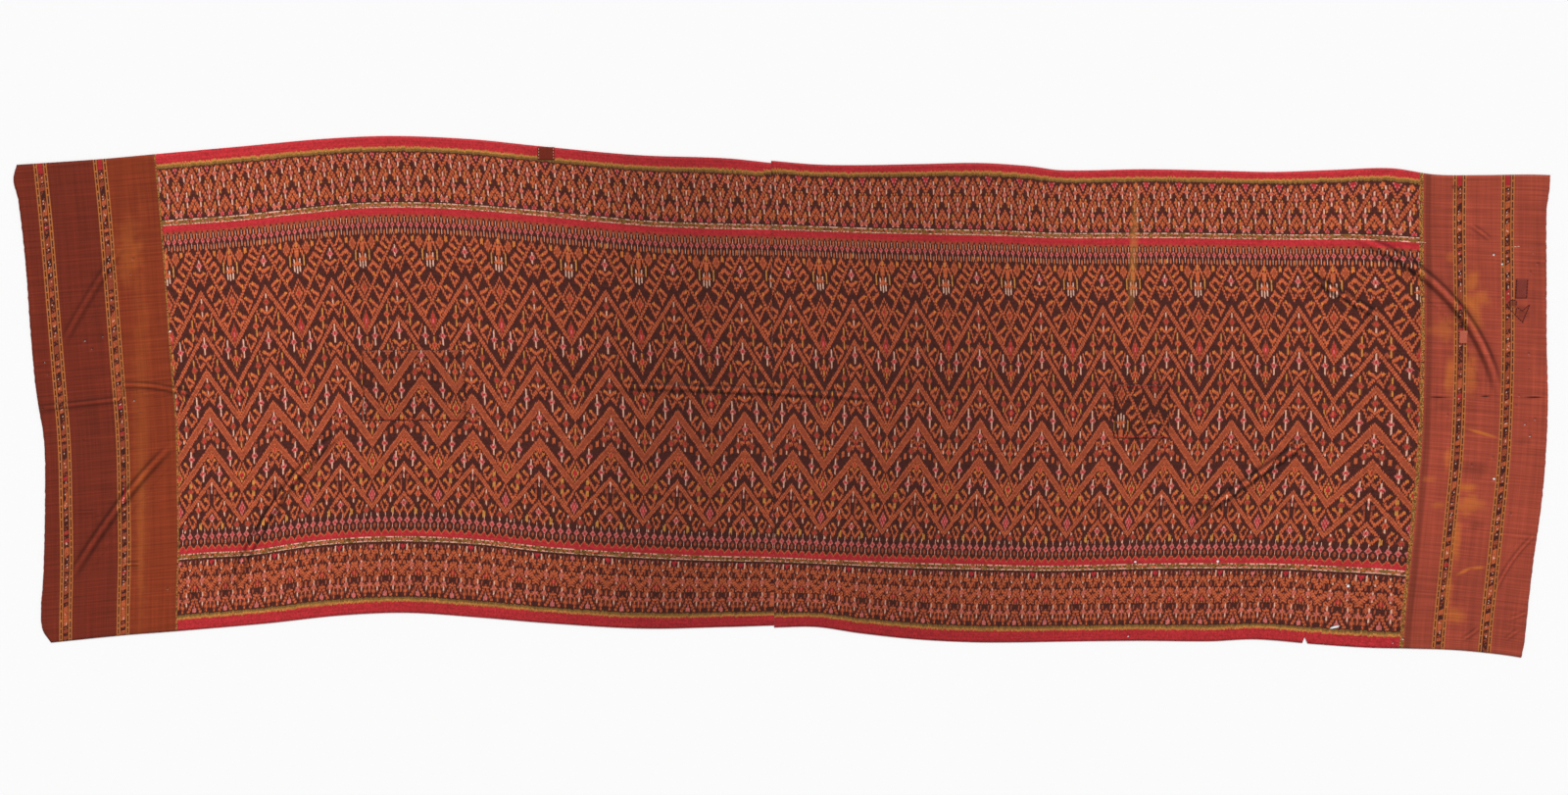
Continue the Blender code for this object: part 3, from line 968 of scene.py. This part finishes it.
def chart_colour(finish, dyes, chart, bundle, tie, base):
    """The colour that a chart gives to a bundle at a tie, over a base where nothing is dyed."""
    parts = math.ceil((chart.last - chart.first) / chart.SPAN)
    span = (chart.last - chart.first) / parts
    place = (tie - chart.first) / span
    part = place.floor()
    inside = place - part
    cell = bundle * BUNDLE_CELLS + part
    colour = base
    for i in range(chart.bundles):
        tree = bundle_group(dyes, chart, i, parts, span)
        colour = finish.node("Group", {"node_tree": tree}, inside, cell, colour)
    return colour


# Bands down the width: the place that they go by, the tie where each starts, and its dye or chart
Band = namedtuple("Band", "by tie dyed")
BANDS = table(
    Band,
    ("stepped", 7.9, "gold"), ("stepped", 10.2, "olive"), ("stepped", 12.6, "ground"),
    ("stepped", 14.0, "upper_border"), ("even", 66.5, "ground"), ("even", 67.6, "dots"),
    ("even", 68.8, "band"), ("even", 72, "dots"), ("even", 73.2, "crimson"), ("moved", 80.5, "ground"),
    ("even", 94.5, "field"), ("moved", 80, "upper_rail"), ("moved", 396, "ground"),
    ("moved", 382, "lower_rail"), ("even", 407.5, "dots"), ("even", 408.7, "band"),
    ("even", 411.6, "dots"), ("even", 412.8, "ground"), ("moved", 415, "lower_border"),
    ("moved", 468.5, "ground"), ("moved", 469.8, "olive"), ("moved", 472, "gold"),
    ("moved", 474.5, "crimson"),
)
LEFT_STEP = 2.6

# How far the tied places wander by the bundle and by the thread, in ties, and the threads in a metre
BUNDLE_DRIFT = 3.2
THREAD_SHIVER = 1.2
THREADS = 2200


def ikat_colour(finish, dyes, straight, turn, tie):
    """The woven pattern: bands, borders, rails and field."""
    bundle = (turn * BUNDLES).floor()
    drift = finish.noise(finish.node("CombineXYZ", {}, bundle * 7.31, tie * 0.045, 0.0), 1.0, 1.0)
    shiver = finish.scatter((straight * THREADS).floor())
    moved = tie + (drift - 0.5) * BUNDLE_DRIFT + (shiver - 0.5) * THREAD_SHIVER
    places = {"even": tie, "moved": moved, "stepped": moved - (straight < -0.03) * LEFT_STEP}
    fleck = finish.scatter(bundle, (tie * 0.8).floor())
    border = (turn.fold(0.5) * BUNDLES + 0.5).floor()
    half = (turn.fold(1.0) * BUNDLES + 0.5).floor()

    def charted(chart, column, down):
        return chart_colour(finish, dyes, chart, column, down, dyes.ground)

    dyed = {
        "ground": dyes.ground,
        "crimson": dyes.crimson,
        "olive": dyes.olive,
        "gold": finish.mix(fleck * 0.5, dyes.gold, dyes.olive),
        "dots": finish.mix(fleck > 0.5, dyes.olive, dyes.cream),
        "band": finish.ramp(
            fleck, (0.0, dyes.olive), (0.5, dyes.edge), (0.7, dyes.orange), (0.9, dyes.pink)
        ),
        "upper_border": charted(upper_border_chart(), border, moved),
        "field": charted(field_chart(), half, moved - FIELD_TIE),
        "lower_border": charted(lower_border_chart(), half, moved),
    }
    rails = {"upper_rail": upper_rail_chart(), "lower_rail": lower_rail_chart()}
    colour = dyes.crimson
    for band in BANDS:
        if band.dyed in rails:
            chart = rails[band.dyed]
            steps = chart.bundles - 1
            comb = ((turn * HALF_REPEAT).fold(chart.width) / chart.width * steps + 0.5).floor()
            colour = chart_colour(finish, dyes, chart, comb, moved, colour)
        else:
            colour = finish.mix(places[band.by] > band.tie, colour, dyed[band.dyed])
    grain = finish.scatter(bundle, (moved * 0.75).floor())
    return finish.light(colour, grain * 0.44 - tie * 0.0003 + 0.86)


# End panels: the line where each starts, the ridge pressed beside it, painted as a band of shade, its
# stripes, and its two tones
EndPanel = namedtuple("EndPanel", "side line wide ridge stripes body inner")
END_PANELS = table(
    EndPanel,
    (-1, -1187, 1.6, 0, (-1407, -1293), "left_panel", "left_faded"),
    (1, 1228.5, 3.8, 13, (1302, 1394), "right_panel", "right_panel"),
)


# The tie where a stripe's motifs start, under plain crimson
STRIPE_START = 11.0


def stripe_colour(finish, dyes, offset, tie, seed):
    """One warp stripe: gold lines and dark dashes on both sides of a row of tied motifs."""
    away = offset.size() * 0.87
    lean = tie + offset * 0.25
    drift = finish.noise(finish.node("CombineXYZ", {}, tie * 0.05, seed, 0.0), 1.0, 0.0)
    beat = lean / 13.0 + drift * 1.8
    block = finish.scatter(beat.floor(), seed)
    tones = ((0.0, dyes.orange), (0.4, dyes.rust), (0.78, dyes.crimson), (0.86, dyes.orange))
    bright = finish.ramp(block, *tones)
    motif = finish.mix(beat.fraction() > 0.48, bright, dyes.ground)
    dots = finish.scatter((lean * 0.7).floor(), (offset * 0.5).floor(), seed)
    motif = finish.mix((dots > 0.72) * (away < 2.8), motif, dyes.rust)
    motif = finish.mix((dots > 0.93) * (away < 1.8), motif, dyes.cream)
    motif = finish.mix(tie < STRIPE_START, motif, dyes.crimson)
    gold = finish.light(finish.mix(0.5, dyes.gold, dyes.orange), 0.95)
    dash = finish.mix((tie / 7.4 + drift).fraction() > 0.2, gold, dyes.ground)
    colour = motif
    for reach, dyed in ((3.6, dyes.edge), (4.8, gold), (7.0, dash), (9.0, gold)):
        colour = finish.mix(away > reach, colour, dyed)
    return colour


def add_panel(finish, dyes, colour, panel, along, tie):
    """An end panel over the woven colour: its plain weft, its edge line and its two stripes."""
    beyond = (along - float(panel.line)) * panel.side
    cloud = finish.noise(finish.node("CombineXYZ", {}, along * 0.012, tie * 0.008, 3.0), 1.0, 3.0)
    streak = finish.noise(finish.node("CombineXYZ", {}, along * 0.12, tie * 0.01, 7.0), 1.0, 2.0)
    picks = finish.noise(finish.node("CombineXYZ", {}, along * 0.005, tie * 0.5, 5.0), 1.0, 3.0)
    first = min(panel.stripes, key=abs)
    outer, inner = (getattr(dyes, name) for name in (panel.body, panel.inner))
    body = finish.mix((along * panel.side) < abs(first), outer, inner)
    body = finish.mix(cloud * 0.5, body, dyes.edge)
    body = finish.light(body, streak * 0.4 + picks * 0.6 + 0.5)
    colour = finish.mix(beyond > 0.0, colour, body)
    # A band of painted shade in the edge dye beside the edge line, where the ridge is pressed
    if panel.ridge:
        ridge_painted_shade = finish.node("MapRange", {}, (beyond - panel.ridge).size(), 3.5, 8.0, 0.55, 0.0)
        colour = finish.mix(ridge_painted_shade, colour, dyes.edge)
    fleck = finish.scatter((tie * 0.9).floor(), (beyond * 0.6).floor())
    tones = ((0.0, dyes.olive), (0.45, dyes.gold), (0.8, dyes.rust), (0.94, dyes.ground))
    edge_line = finish.ramp(fleck, *tones)
    colour = finish.mix((beyond - 0.5).size() < panel.wide, colour, edge_line)
    for stripe in panel.stripes:
        offset = along - float(stripe)
        woven = stripe_colour(finish, dyes, offset, tie, float(stripe) * 0.01)
        colour = finish.mix(offset.size() < 12.8, colour, woven)
    return colour


def ikat_finish(dyes):
    finish = Finish("woven_ikat")
    dyes = opaque_dyes(dyes)
    straight, tie = finish.layer("weave")
    turn, _ = finish.layer("repeat")
    tie = tie / TIE
    along = straight / MM
    colour = ikat_colour(finish, dyes, straight, turn, tie)
    # The colour made lighter or darker along the cloth, by the table of field lightness
    colour = finish.light(colour, finish.curve(along, column(FIELD_LIGHTNESS, "along"), column(FIELD_LIGHTNESS, "light")))
    for panel in END_PANELS:
        colour = add_panel(finish, dyes, colour, panel, along, tie)
    place = finish.node("TexCoord", {}, out=3)
    for stain in STAINS:
        inside = finish.oval(place, *stain[:5], stain.ragged) * stain.strength
        colour = finish.mix(inside, colour, getattr(dyes, stain.colour))
    weft = finish.noise(finish.node("CombineXYZ", {}, along * 0.7, tie * 0.012, 0.0), 1.0, 3.0)
    warp = finish.noise(finish.node("CombineXYZ", {}, along * 0.008, tie * 0.6, 9.0), 1.0, 4.0)
    colour = finish.light(colour, weft * 0.4 + warp * 0.6 + 0.5)
    # Painted shade on the crease flanks and a painted highlight on their crests, laid in the colour over the
    # real ridges of the shell; round each patch the same map gives a painted shadow
    side, strength = finish.layer("crease")
    shade = finish.curve(side, column(SHADES, "side"), column(SHADES, "light"))
    colour = finish.light(colour, (shade - 1.0) * strength + 1.0)
    bump = finish.node("Bump", {}, {"Strength": 0.3, "Distance": 0.5 * MM, "Height": weft + warp})
    finish.surface(Base_Color=colour, Roughness=warp * 0.3 + 0.35, Normal=bump)
    return finish.material


# Threads in a metre of a plain patch or darn, along it and across it, how dark their shaded side is,
# and the scale of the twist in sewing thread
PLAIN_THREADS = (1500, 260)
PLAIN_SHADE = 0.72
TWIST_SCALE = 700.0


def plain_finish(name, colour, roughness):
    finish = Finish(name)
    weave, across = finish.layer("weave")
    thread = finish.scatter((weave * PLAIN_THREADS[0]).floor(), (across * PLAIN_THREADS[1]).floor())
    light = finish.mix(thread, opaque(tuple(PLAIN_SHADE * c for c in colour)), opaque(colour))
    finish.surface(Base_Color=light, Roughness=roughness)
    return finish.material


def thread_finish(name):
    """Silk thread of one of the dyes, a little uneven along it."""
    colour = getattr(bpy.context.scene.sampot_dyes, name)
    finish = Finish(name + "_thread")
    twist = finish.noise(finish.node("TexCoord", {}, out=3), TWIST_SCALE, 1.0, "3D")
    finish.surface(Base_Color=finish.light(tuple(colour), twist * 0.7 + 0.65), Roughness=0.6)
    return finish.material


def deselect():
    bpy.ops.object.select_all(action="DESELECT")


def add_grid(name, columns, rows):
    """A flat grid one unit wide, with its object at the origin."""
    deselect()
    bpy.ops.mesh.primitive_grid_add(x_subdivisions=columns, y_subdivisions=rows, size=1)
    made = bpy.context.object
    made.name = name
    made.data.name = name
    return made


def coordinates(mesh):
    places = np.empty(len(mesh.vertices) * 3)
    mesh.vertices.foreach_get("co", places)
    return places.reshape(-1, 3)


def lay_flat(mesh, along, across):
    set_coordinates(mesh, np.stack([along, across, 0 * along], axis=-1) * MM)


def set_coordinates(mesh, places):
    mesh.vertices.foreach_set("co", np.ascontiguousarray(places).ravel())
    mesh.update()


def hole_outline(hole):
    """Points just past a hole's edge, and its middle, in metres."""
    turn = math.radians(hole.turn)
    points = []
    for angle in np.arange(OUTLINE_POINTS) * 2 * math.pi / OUTLINE_POINTS:
        x = (hole.long / 2 + HOLE_MARGIN) * math.cos(angle)
        y = (hole.wide / 2 + HOLE_MARGIN) * math.sin(angle)
        along = hole.along + x * math.cos(turn) - y * math.sin(turn)
        across = hole.across + x * math.sin(turn) + y * math.cos(turn)
        points.append(np.array((along, across)) * MM)
    return points + [np.array((hole.along, hole.across)) * MM]


def face_centres(bm):
    bm.faces.ensure_lookup_table()
    return np.array([face.calc_center_median()[:2] for face in bm.faces])


def cut_holes(mesh, holes):
    """Each hole is opened in the faces that it touches, with its rim on an oval."""
    bm = bmesh.new()
    bm.from_mesh(mesh)
    for hole in holes:
        centres = face_centres(bm)
        outline = hole_outline(hole)
        middle = outline[-1]
        close = np.nonzero(np.hypot(*(centres - middle).T) < (hole.long + HOLE_REACH) * MM)[0]
        touched = {int(close[np.hypot(*(centres[close] - point).T).argmin()]) for point in outline}
        open_hole(bm, hole, middle, [bm.faces[index] for index in sorted(touched)])
    bm.to_mesh(mesh)
    bm.free()


def open_hole(bm, hole, middle, faces):
    face = faces[0] if len(faces) == 1 else bmesh.ops.dissolve_faces(bm, faces=faces)["region"][0]
    bmesh.ops.inset_region(bm, faces=[face], thickness=HOLE_RIM * MM)
    if len(face.verts) < 8:
        bmesh.ops.subdivide_edges(bm, edges=list(face.edges), cuts=2)
    turn = math.radians(hole.turn)
    for vertex in face.verts:
        x, y = vertex.co.x - middle[0], vertex.co.y - middle[1]
        angle = math.atan2(y, x) - turn
        reach_x = hole.long / 2 * MM * math.cos(angle)
        reach_y = hole.wide / 2 * MM * math.sin(angle)
        vertex.co.x = middle[0] + reach_x * math.cos(turn) - reach_y * math.sin(turn)
        vertex.co.y = middle[1] + reach_x * math.sin(turn) + reach_y * math.cos(turn)
    bmesh.ops.delete(bm, geom=[face], context="FACES_ONLY")


def lift_shell(mesh, lift, rumple):
    """Gives every point its height from the creases and the soft unevenness."""
    places = coordinates(mesh)
    height, side, shade = cloth_height(places[:, 0] / MM, places[:, 1] / MM, rumple)
    places[:, 2] = height + lift
    set_coordinates(mesh, places)
    # The crease map: the side across the nearest crease and the strength of its painted shade
    add_map(mesh, "crease", side, shade)


def add_map(mesh, name, first, second):
    """A map layer from two values at each point."""
    layer = mesh.uv_layers.get(name) or mesh.uv_layers.new(name=name)
    corner = np.empty(len(mesh.loops), dtype=np.int64)
    mesh.loops.foreach_get("vertex_index", corner)
    layer.data.foreach_set("uv", np.stack([first[corner], second[corner]], axis=-1).ravel())


def finish_wall(made, thickness, material):
    made.data.materials.clear()
    made.data.materials.append(material)
    made.data.shade_smooth()
    wall = made.modifiers.new("Wall", "SOLIDIFY")
    wall.thickness = thickness
    wall.offset = 1.0
    bpy.context.view_layer.objects.active = made
    bpy.ops.object.modifier_apply(modifier=wall.name)


def tear(share, along, across):
    """Pulls the lower selvage up at the small tear."""
    bottom = share[:, 1] < 0.5 / TIES
    nearest = share[bottom, 0][np.abs(along[bottom] - TEAR.along).argmin()]
    here = np.abs(share[:, 0] - nearest) < 1e-4
    snap = np.clip(1 - share[:, 1] * TEAR_POWER, 0, 1)
    along = np.where(here, along + (TEAR.along - along) * snap, along)
    return along, across + np.where(here, TEAR.depth * (1 - share[:, 1]) ** TEAR_POWER, 0.0)


def add_length(length, holes, cloth, material):
    """One woven length as a fine shell, with its creases, frayed ends and holes."""
    start, stop = (cloth_place(length, np.array([share]), np.array([0.5]))[0][0] for share in (0.0, 1.0))
    columns = round((stop - start) * MM / cloth.pitch)
    rows = round(TIES * TIE / cloth.pitch)
    made = add_grid(length + "_silk", columns, rows)
    mesh = made.data
    share = coordinates(mesh)[:, :2] + 0.5
    along, across = cloth_place(length, share[:, 0], share[:, 1])
    cut_end = share[:, 0] < 0.001 if length == "left_length" else share[:, 0] > 0.999
    ragged = np.array([noise.noise(Vector((0.0, y / FRAY_SPAN, FRAY_SEED))) for y in across])
    along = along + np.where(cut_end, ragged * cloth.fray / MM, 0.0)
    if length == "right_length":
        along, across = tear(share, along, across)
    lay_flat(mesh, along, across)
    cut_holes(mesh, holes)
    lift_shell(mesh, 0.0, cloth.rumple)
    places = coordinates(mesh) / MM
    straight, turn, tie = woven_place(length, places[:, 0], places[:, 1])
    add_map(mesh, "weave", straight * MM, tie * TIE)
    add_map(mesh, "repeat", turn, 0 * turn)
    finish_wall(made, cloth.thickness, material)
    return made


def add_stitches(piece, cloth, lift):
    """The stitches sewn on a piece, lying on the silk as one object."""
    seams = [seam for seam in SEAMS if seam.piece == piece]
    deselect()
    bpy.ops.mesh.primitive_uv_sphere_add(segments=8, ring_count=5, radius=0.5)
    made = bpy.context.object
    made.name = made.data.name = piece + "_stitches"
    made.data.shade_smooth()
    threads = sorted({seam.thread for seam in seams})
    for thread in threads:
        made.data.materials.append(thread_finish(thread))
    bm = bmesh.new()
    bm.from_mesh(made.data)
    pattern = bm.verts[:] + bm.faces[:]
    for seam in seams:
        start, stop = np.array(seam.start, float), np.array(seam.stop, float)
        angle = math.atan2(*(stop - start)[::-1])
        for share in (np.arange(seam.count) + 0.5) / seam.count:
            place = start + (stop - start) * share
            height = cloth_height(place[:1], place[1:], cloth.rumple)[0][0]
            corner = Vector((*place * MM, height + cloth.thickness + lift))
            shape = Matrix.Diagonal((seam.long * MM, seam.wide * MM, STITCH_RISE * MM, 1.0))
            stitch = bmesh.ops.duplicate(bm, geom=pattern)["geom"]
            points = [part for part in stitch if isinstance(part, bmesh.types.BMVert)]
            bmesh.ops.transform(
                bm, matrix=Matrix.Translation(corner) @ Matrix.Rotation(angle, 4, "Z") @ shape, verts=points
            )
            for face in {face for point in points for face in point.link_faces}:
                face.material_index = threads.index(seam.thread)
    first = [part for part in pattern if isinstance(part, bmesh.types.BMVert)]
    bmesh.ops.delete(bm, geom=first, context="VERTS")
    bm.to_mesh(made.data)
    bm.free()
    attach(made, "root")
    return made


def patch_shade(repair, share):
    """A painted shadow round the edge of a patch and the patch's own darker tone, in the terms of the crease
    map.
    """
    size = np.array((repair.stop - repair.start, repair.upper - repair.lower))
    # Within half a millimetre of the edge the colour gets a painted shadow
    edge = (np.minimum(share, 1 - share) * size).min(axis=1) < 0.5
    side = np.where(edge, DARK_SIDE, FLANK_SIDE if repair.dark > 0 else PLAIN_SIDE)
    return side, np.where(edge, PATCH_EDGE_PAINTED_SHADOW, repair.dark)


def add_repair(repair, cloth, material):
    """A patch on its length, lifted onto the silk, with its own place in the repeat."""
    columns, rows = (
        max(4, round(size * MM / cloth.pitch * PATCH_FINENESS))
        for size in (repair.stop - repair.start, repair.upper - repair.lower)
    )
    made = add_grid(repair.name + "_silk", columns, rows)
    mesh = made.data
    share = coordinates(mesh)[:, :2] + 0.5
    along = repair.start + (repair.stop - repair.start) * share[:, 0]
    across = repair.lower + (repair.upper - repair.lower) * share[:, 1]
    lay_flat(mesh, along, across)
    lift_shell(mesh, cloth.thickness + PATCH_GAP * MM, cloth.rumple)
    add_map(mesh, "crease", *patch_shade(repair, share))
    turn = (along - repair.turn_at) / (HALF_REPEAT * TIE / MM)
    tie = repair.top_tie + (repair.upper - across) * repair.way * MM / TIE
    add_map(mesh, "weave", along * MM, tie * TIE)
    add_map(mesh, "repeat", turn, 0 * turn)
    finish_wall(made, cloth.thickness, material)
    return made


def place_in_body(made, slot, *nodes):
    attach(made, "root")
    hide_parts(*nodes)


def sew(repair, slot, material, cloth):
    """Puts a patch or darn on the silk, with its stitches."""
    made = add_repair(repair, cloth, material)
    place_in_body(made, slot, repair.name)
    flat = ((repair.stop - repair.start) * MM, (repair.upper - repair.lower) * MM)
    stitches = add_stitches(repair.name, cloth, cloth.thickness + PATCH_GAP * MM)


class SAMPOT_OT_weave_lengths(Operator):
    """Weave the two lengths and lay them side by side"""

    bl_idname = "sampot.weave_lengths"
    bl_label = "Weave the lengths"

    def execute(self, context):
        scene = context.scene
        material = ikat_finish(scene.sampot_dyes)
        for length, holes, flat in (
            ("left_length", LEFT_HOLES, (0.935, 1.43)),
            ("right_length", RIGHT_HOLES, (0.935, 1.49)),
        ):
            made = add_length(length, holes, scene.sampot_cloth, material)
            place_in_body(made, "ikat_silk", length)
            sewn = [add_stitches(length, scene.sampot_cloth, 0.0)] if length == "right_length" else []
        return {"FINISHED"}


class SAMPOT_OT_patch(Operator):
    """Lay the patches on the worn places"""

    bl_idname = "sampot.patch"
    bl_label = "Patch the silk"

    def execute(self, context):
        scene = context.scene
        cloth = scene.sampot_cloth
        field = bpy.data.materials["woven_ikat"]
        for repair, under in zip(FIELD_PATCHES, ("left_length_silk", "right_length_silk")):
            sew(repair, "patch_silk", field, cloth)
        plain = plain_finish("plain_patch", scene.sampot_dyes.left_panel, 0.65)
        sew(SELVAGE_PATCH, "plain_patch", plain, cloth)
        return {"FINISHED"}


class SAMPOT_OT_darn(Operator):
    """Darn the thin places with thread"""

    bl_idname = "sampot.darn"
    bl_label = "Darn the silk"

    def execute(self, context):
        cloth = context.scene.sampot_cloth
        dyes = context.scene.sampot_dyes
        for repair, colour in zip(DARNS, (dyes.stripe_darn, dyes.end_darn)):
            material = plain_finish(repair.name, colour, 0.7)
            sew(repair, "darning", material, cloth)
        return {"FINISHED"}


# The floor's side and the lamp's place in metres, the camera's target and sensor in millimetres
FLOOR_SIZE = 80
LAMP_PLACE = (0.5, 2.3, 1.9)
TARGET = (-7.5, 8.5, 0)
SENSOR = 36


class SAMPOT_OT_set_studio(Operator):
    """Set the camera, the pale floor and the soft light"""

    bl_idname = "sampot.set_studio"
    bl_label = "Set the studio"

    def execute(self, context):
        scene = context.scene
        studio = scene.sampot_studio
        deselect()
        bpy.ops.mesh.primitive_plane_add(size=FLOOR_SIZE, location=(0, 0, -0.5 * MM))
        floor = context.object
        floor.name = "floor"
        finish = Finish("floor")
        finish.surface(Base_Color=opaque(studio.floor), Roughness=0.9)
        floor.data.materials.append(finish.material)
        target = Vector(TARGET) * MM
        tilt = studio.tilt
        place = target + Vector((0, math.sin(tilt), math.cos(tilt))) * studio.distance
        bpy.ops.object.camera_add(location=place, rotation=(-tilt, 0, 0))
        camera = context.object
        camera.data.lens = studio.lens
        camera.data.sensor_width = SENSOR
        scene.camera = camera
        bpy.ops.object.light_add(type="SUN", location=LAMP_PLACE)
        lamp = context.object
        lamp.data.angle = studio.softness
        lamp.data.energy = studio.lamp
        lamp.rotation_euler = (-lamp.location).to_track_quat("-Z", "Y").to_euler()
        world = bpy.data.worlds.new("daylight")
        world.use_nodes = True
        world.node_tree.nodes["Background"].inputs["Color"].default_value = (1, 1, 1, 1)
        world.node_tree.nodes["Background"].inputs["Strength"].default_value = studio.daylight
        scene.world = world
        scene.view_settings.view_transform = "Standard"
        return {"FINISHED"}


class SAMPOT_PT_sampot(Panel):
    """The sampot's steps and sizes"""

    bl_idname = "SAMPOT_PT_sampot"
    bl_label = "Sampot"
    bl_space_type = "VIEW_3D"
    bl_region_type = "UI"
    bl_category = "Sampot"

    def draw(self, context):
        for step in STEPS:
            self.layout.operator(step.bl_idname)
        for group in (context.scene.sampot_cloth, context.scene.sampot_dyes, context.scene.sampot_studio):
            box = self.layout.box()
            for name in group.__annotations__:
                box.prop(group, name)


STEPS = (
    SAMPOT_OT_set_studio,
    SAMPOT_OT_weave_lengths,
    SAMPOT_OT_patch,
    SAMPOT_OT_darn,
)
GROUPS = {
    "sampot_dyes": SampotDyes,
    "sampot_cloth": SampotCloth,
    "sampot_studio": SampotStudio,
}


def register():
    for group in GROUPS.values():
        bpy.utils.register_class(group)
    for name, group in GROUPS.items():
        setattr(bpy.types.Scene, name, PointerProperty(type=group))
    for step in STEPS:
        bpy.utils.register_class(step)
    bpy.utils.register_class(SAMPOT_PT_sampot)


def unregister():
    bpy.utils.unregister_class(SAMPOT_PT_sampot)
    for step in reversed(STEPS):
        bpy.utils.unregister_class(step)
    for name in GROUPS:
        delattr(bpy.types.Scene, name)
    for group in GROUPS.values():
        bpy.utils.unregister_class(group)


def main():
    register()
    bpy.ops.sampot.set_studio()
    bpy.ops.sampot.weave_lengths()
    bpy.ops.sampot.patch()
    bpy.ops.sampot.darn()


if __name__ == "__main__":
    main()
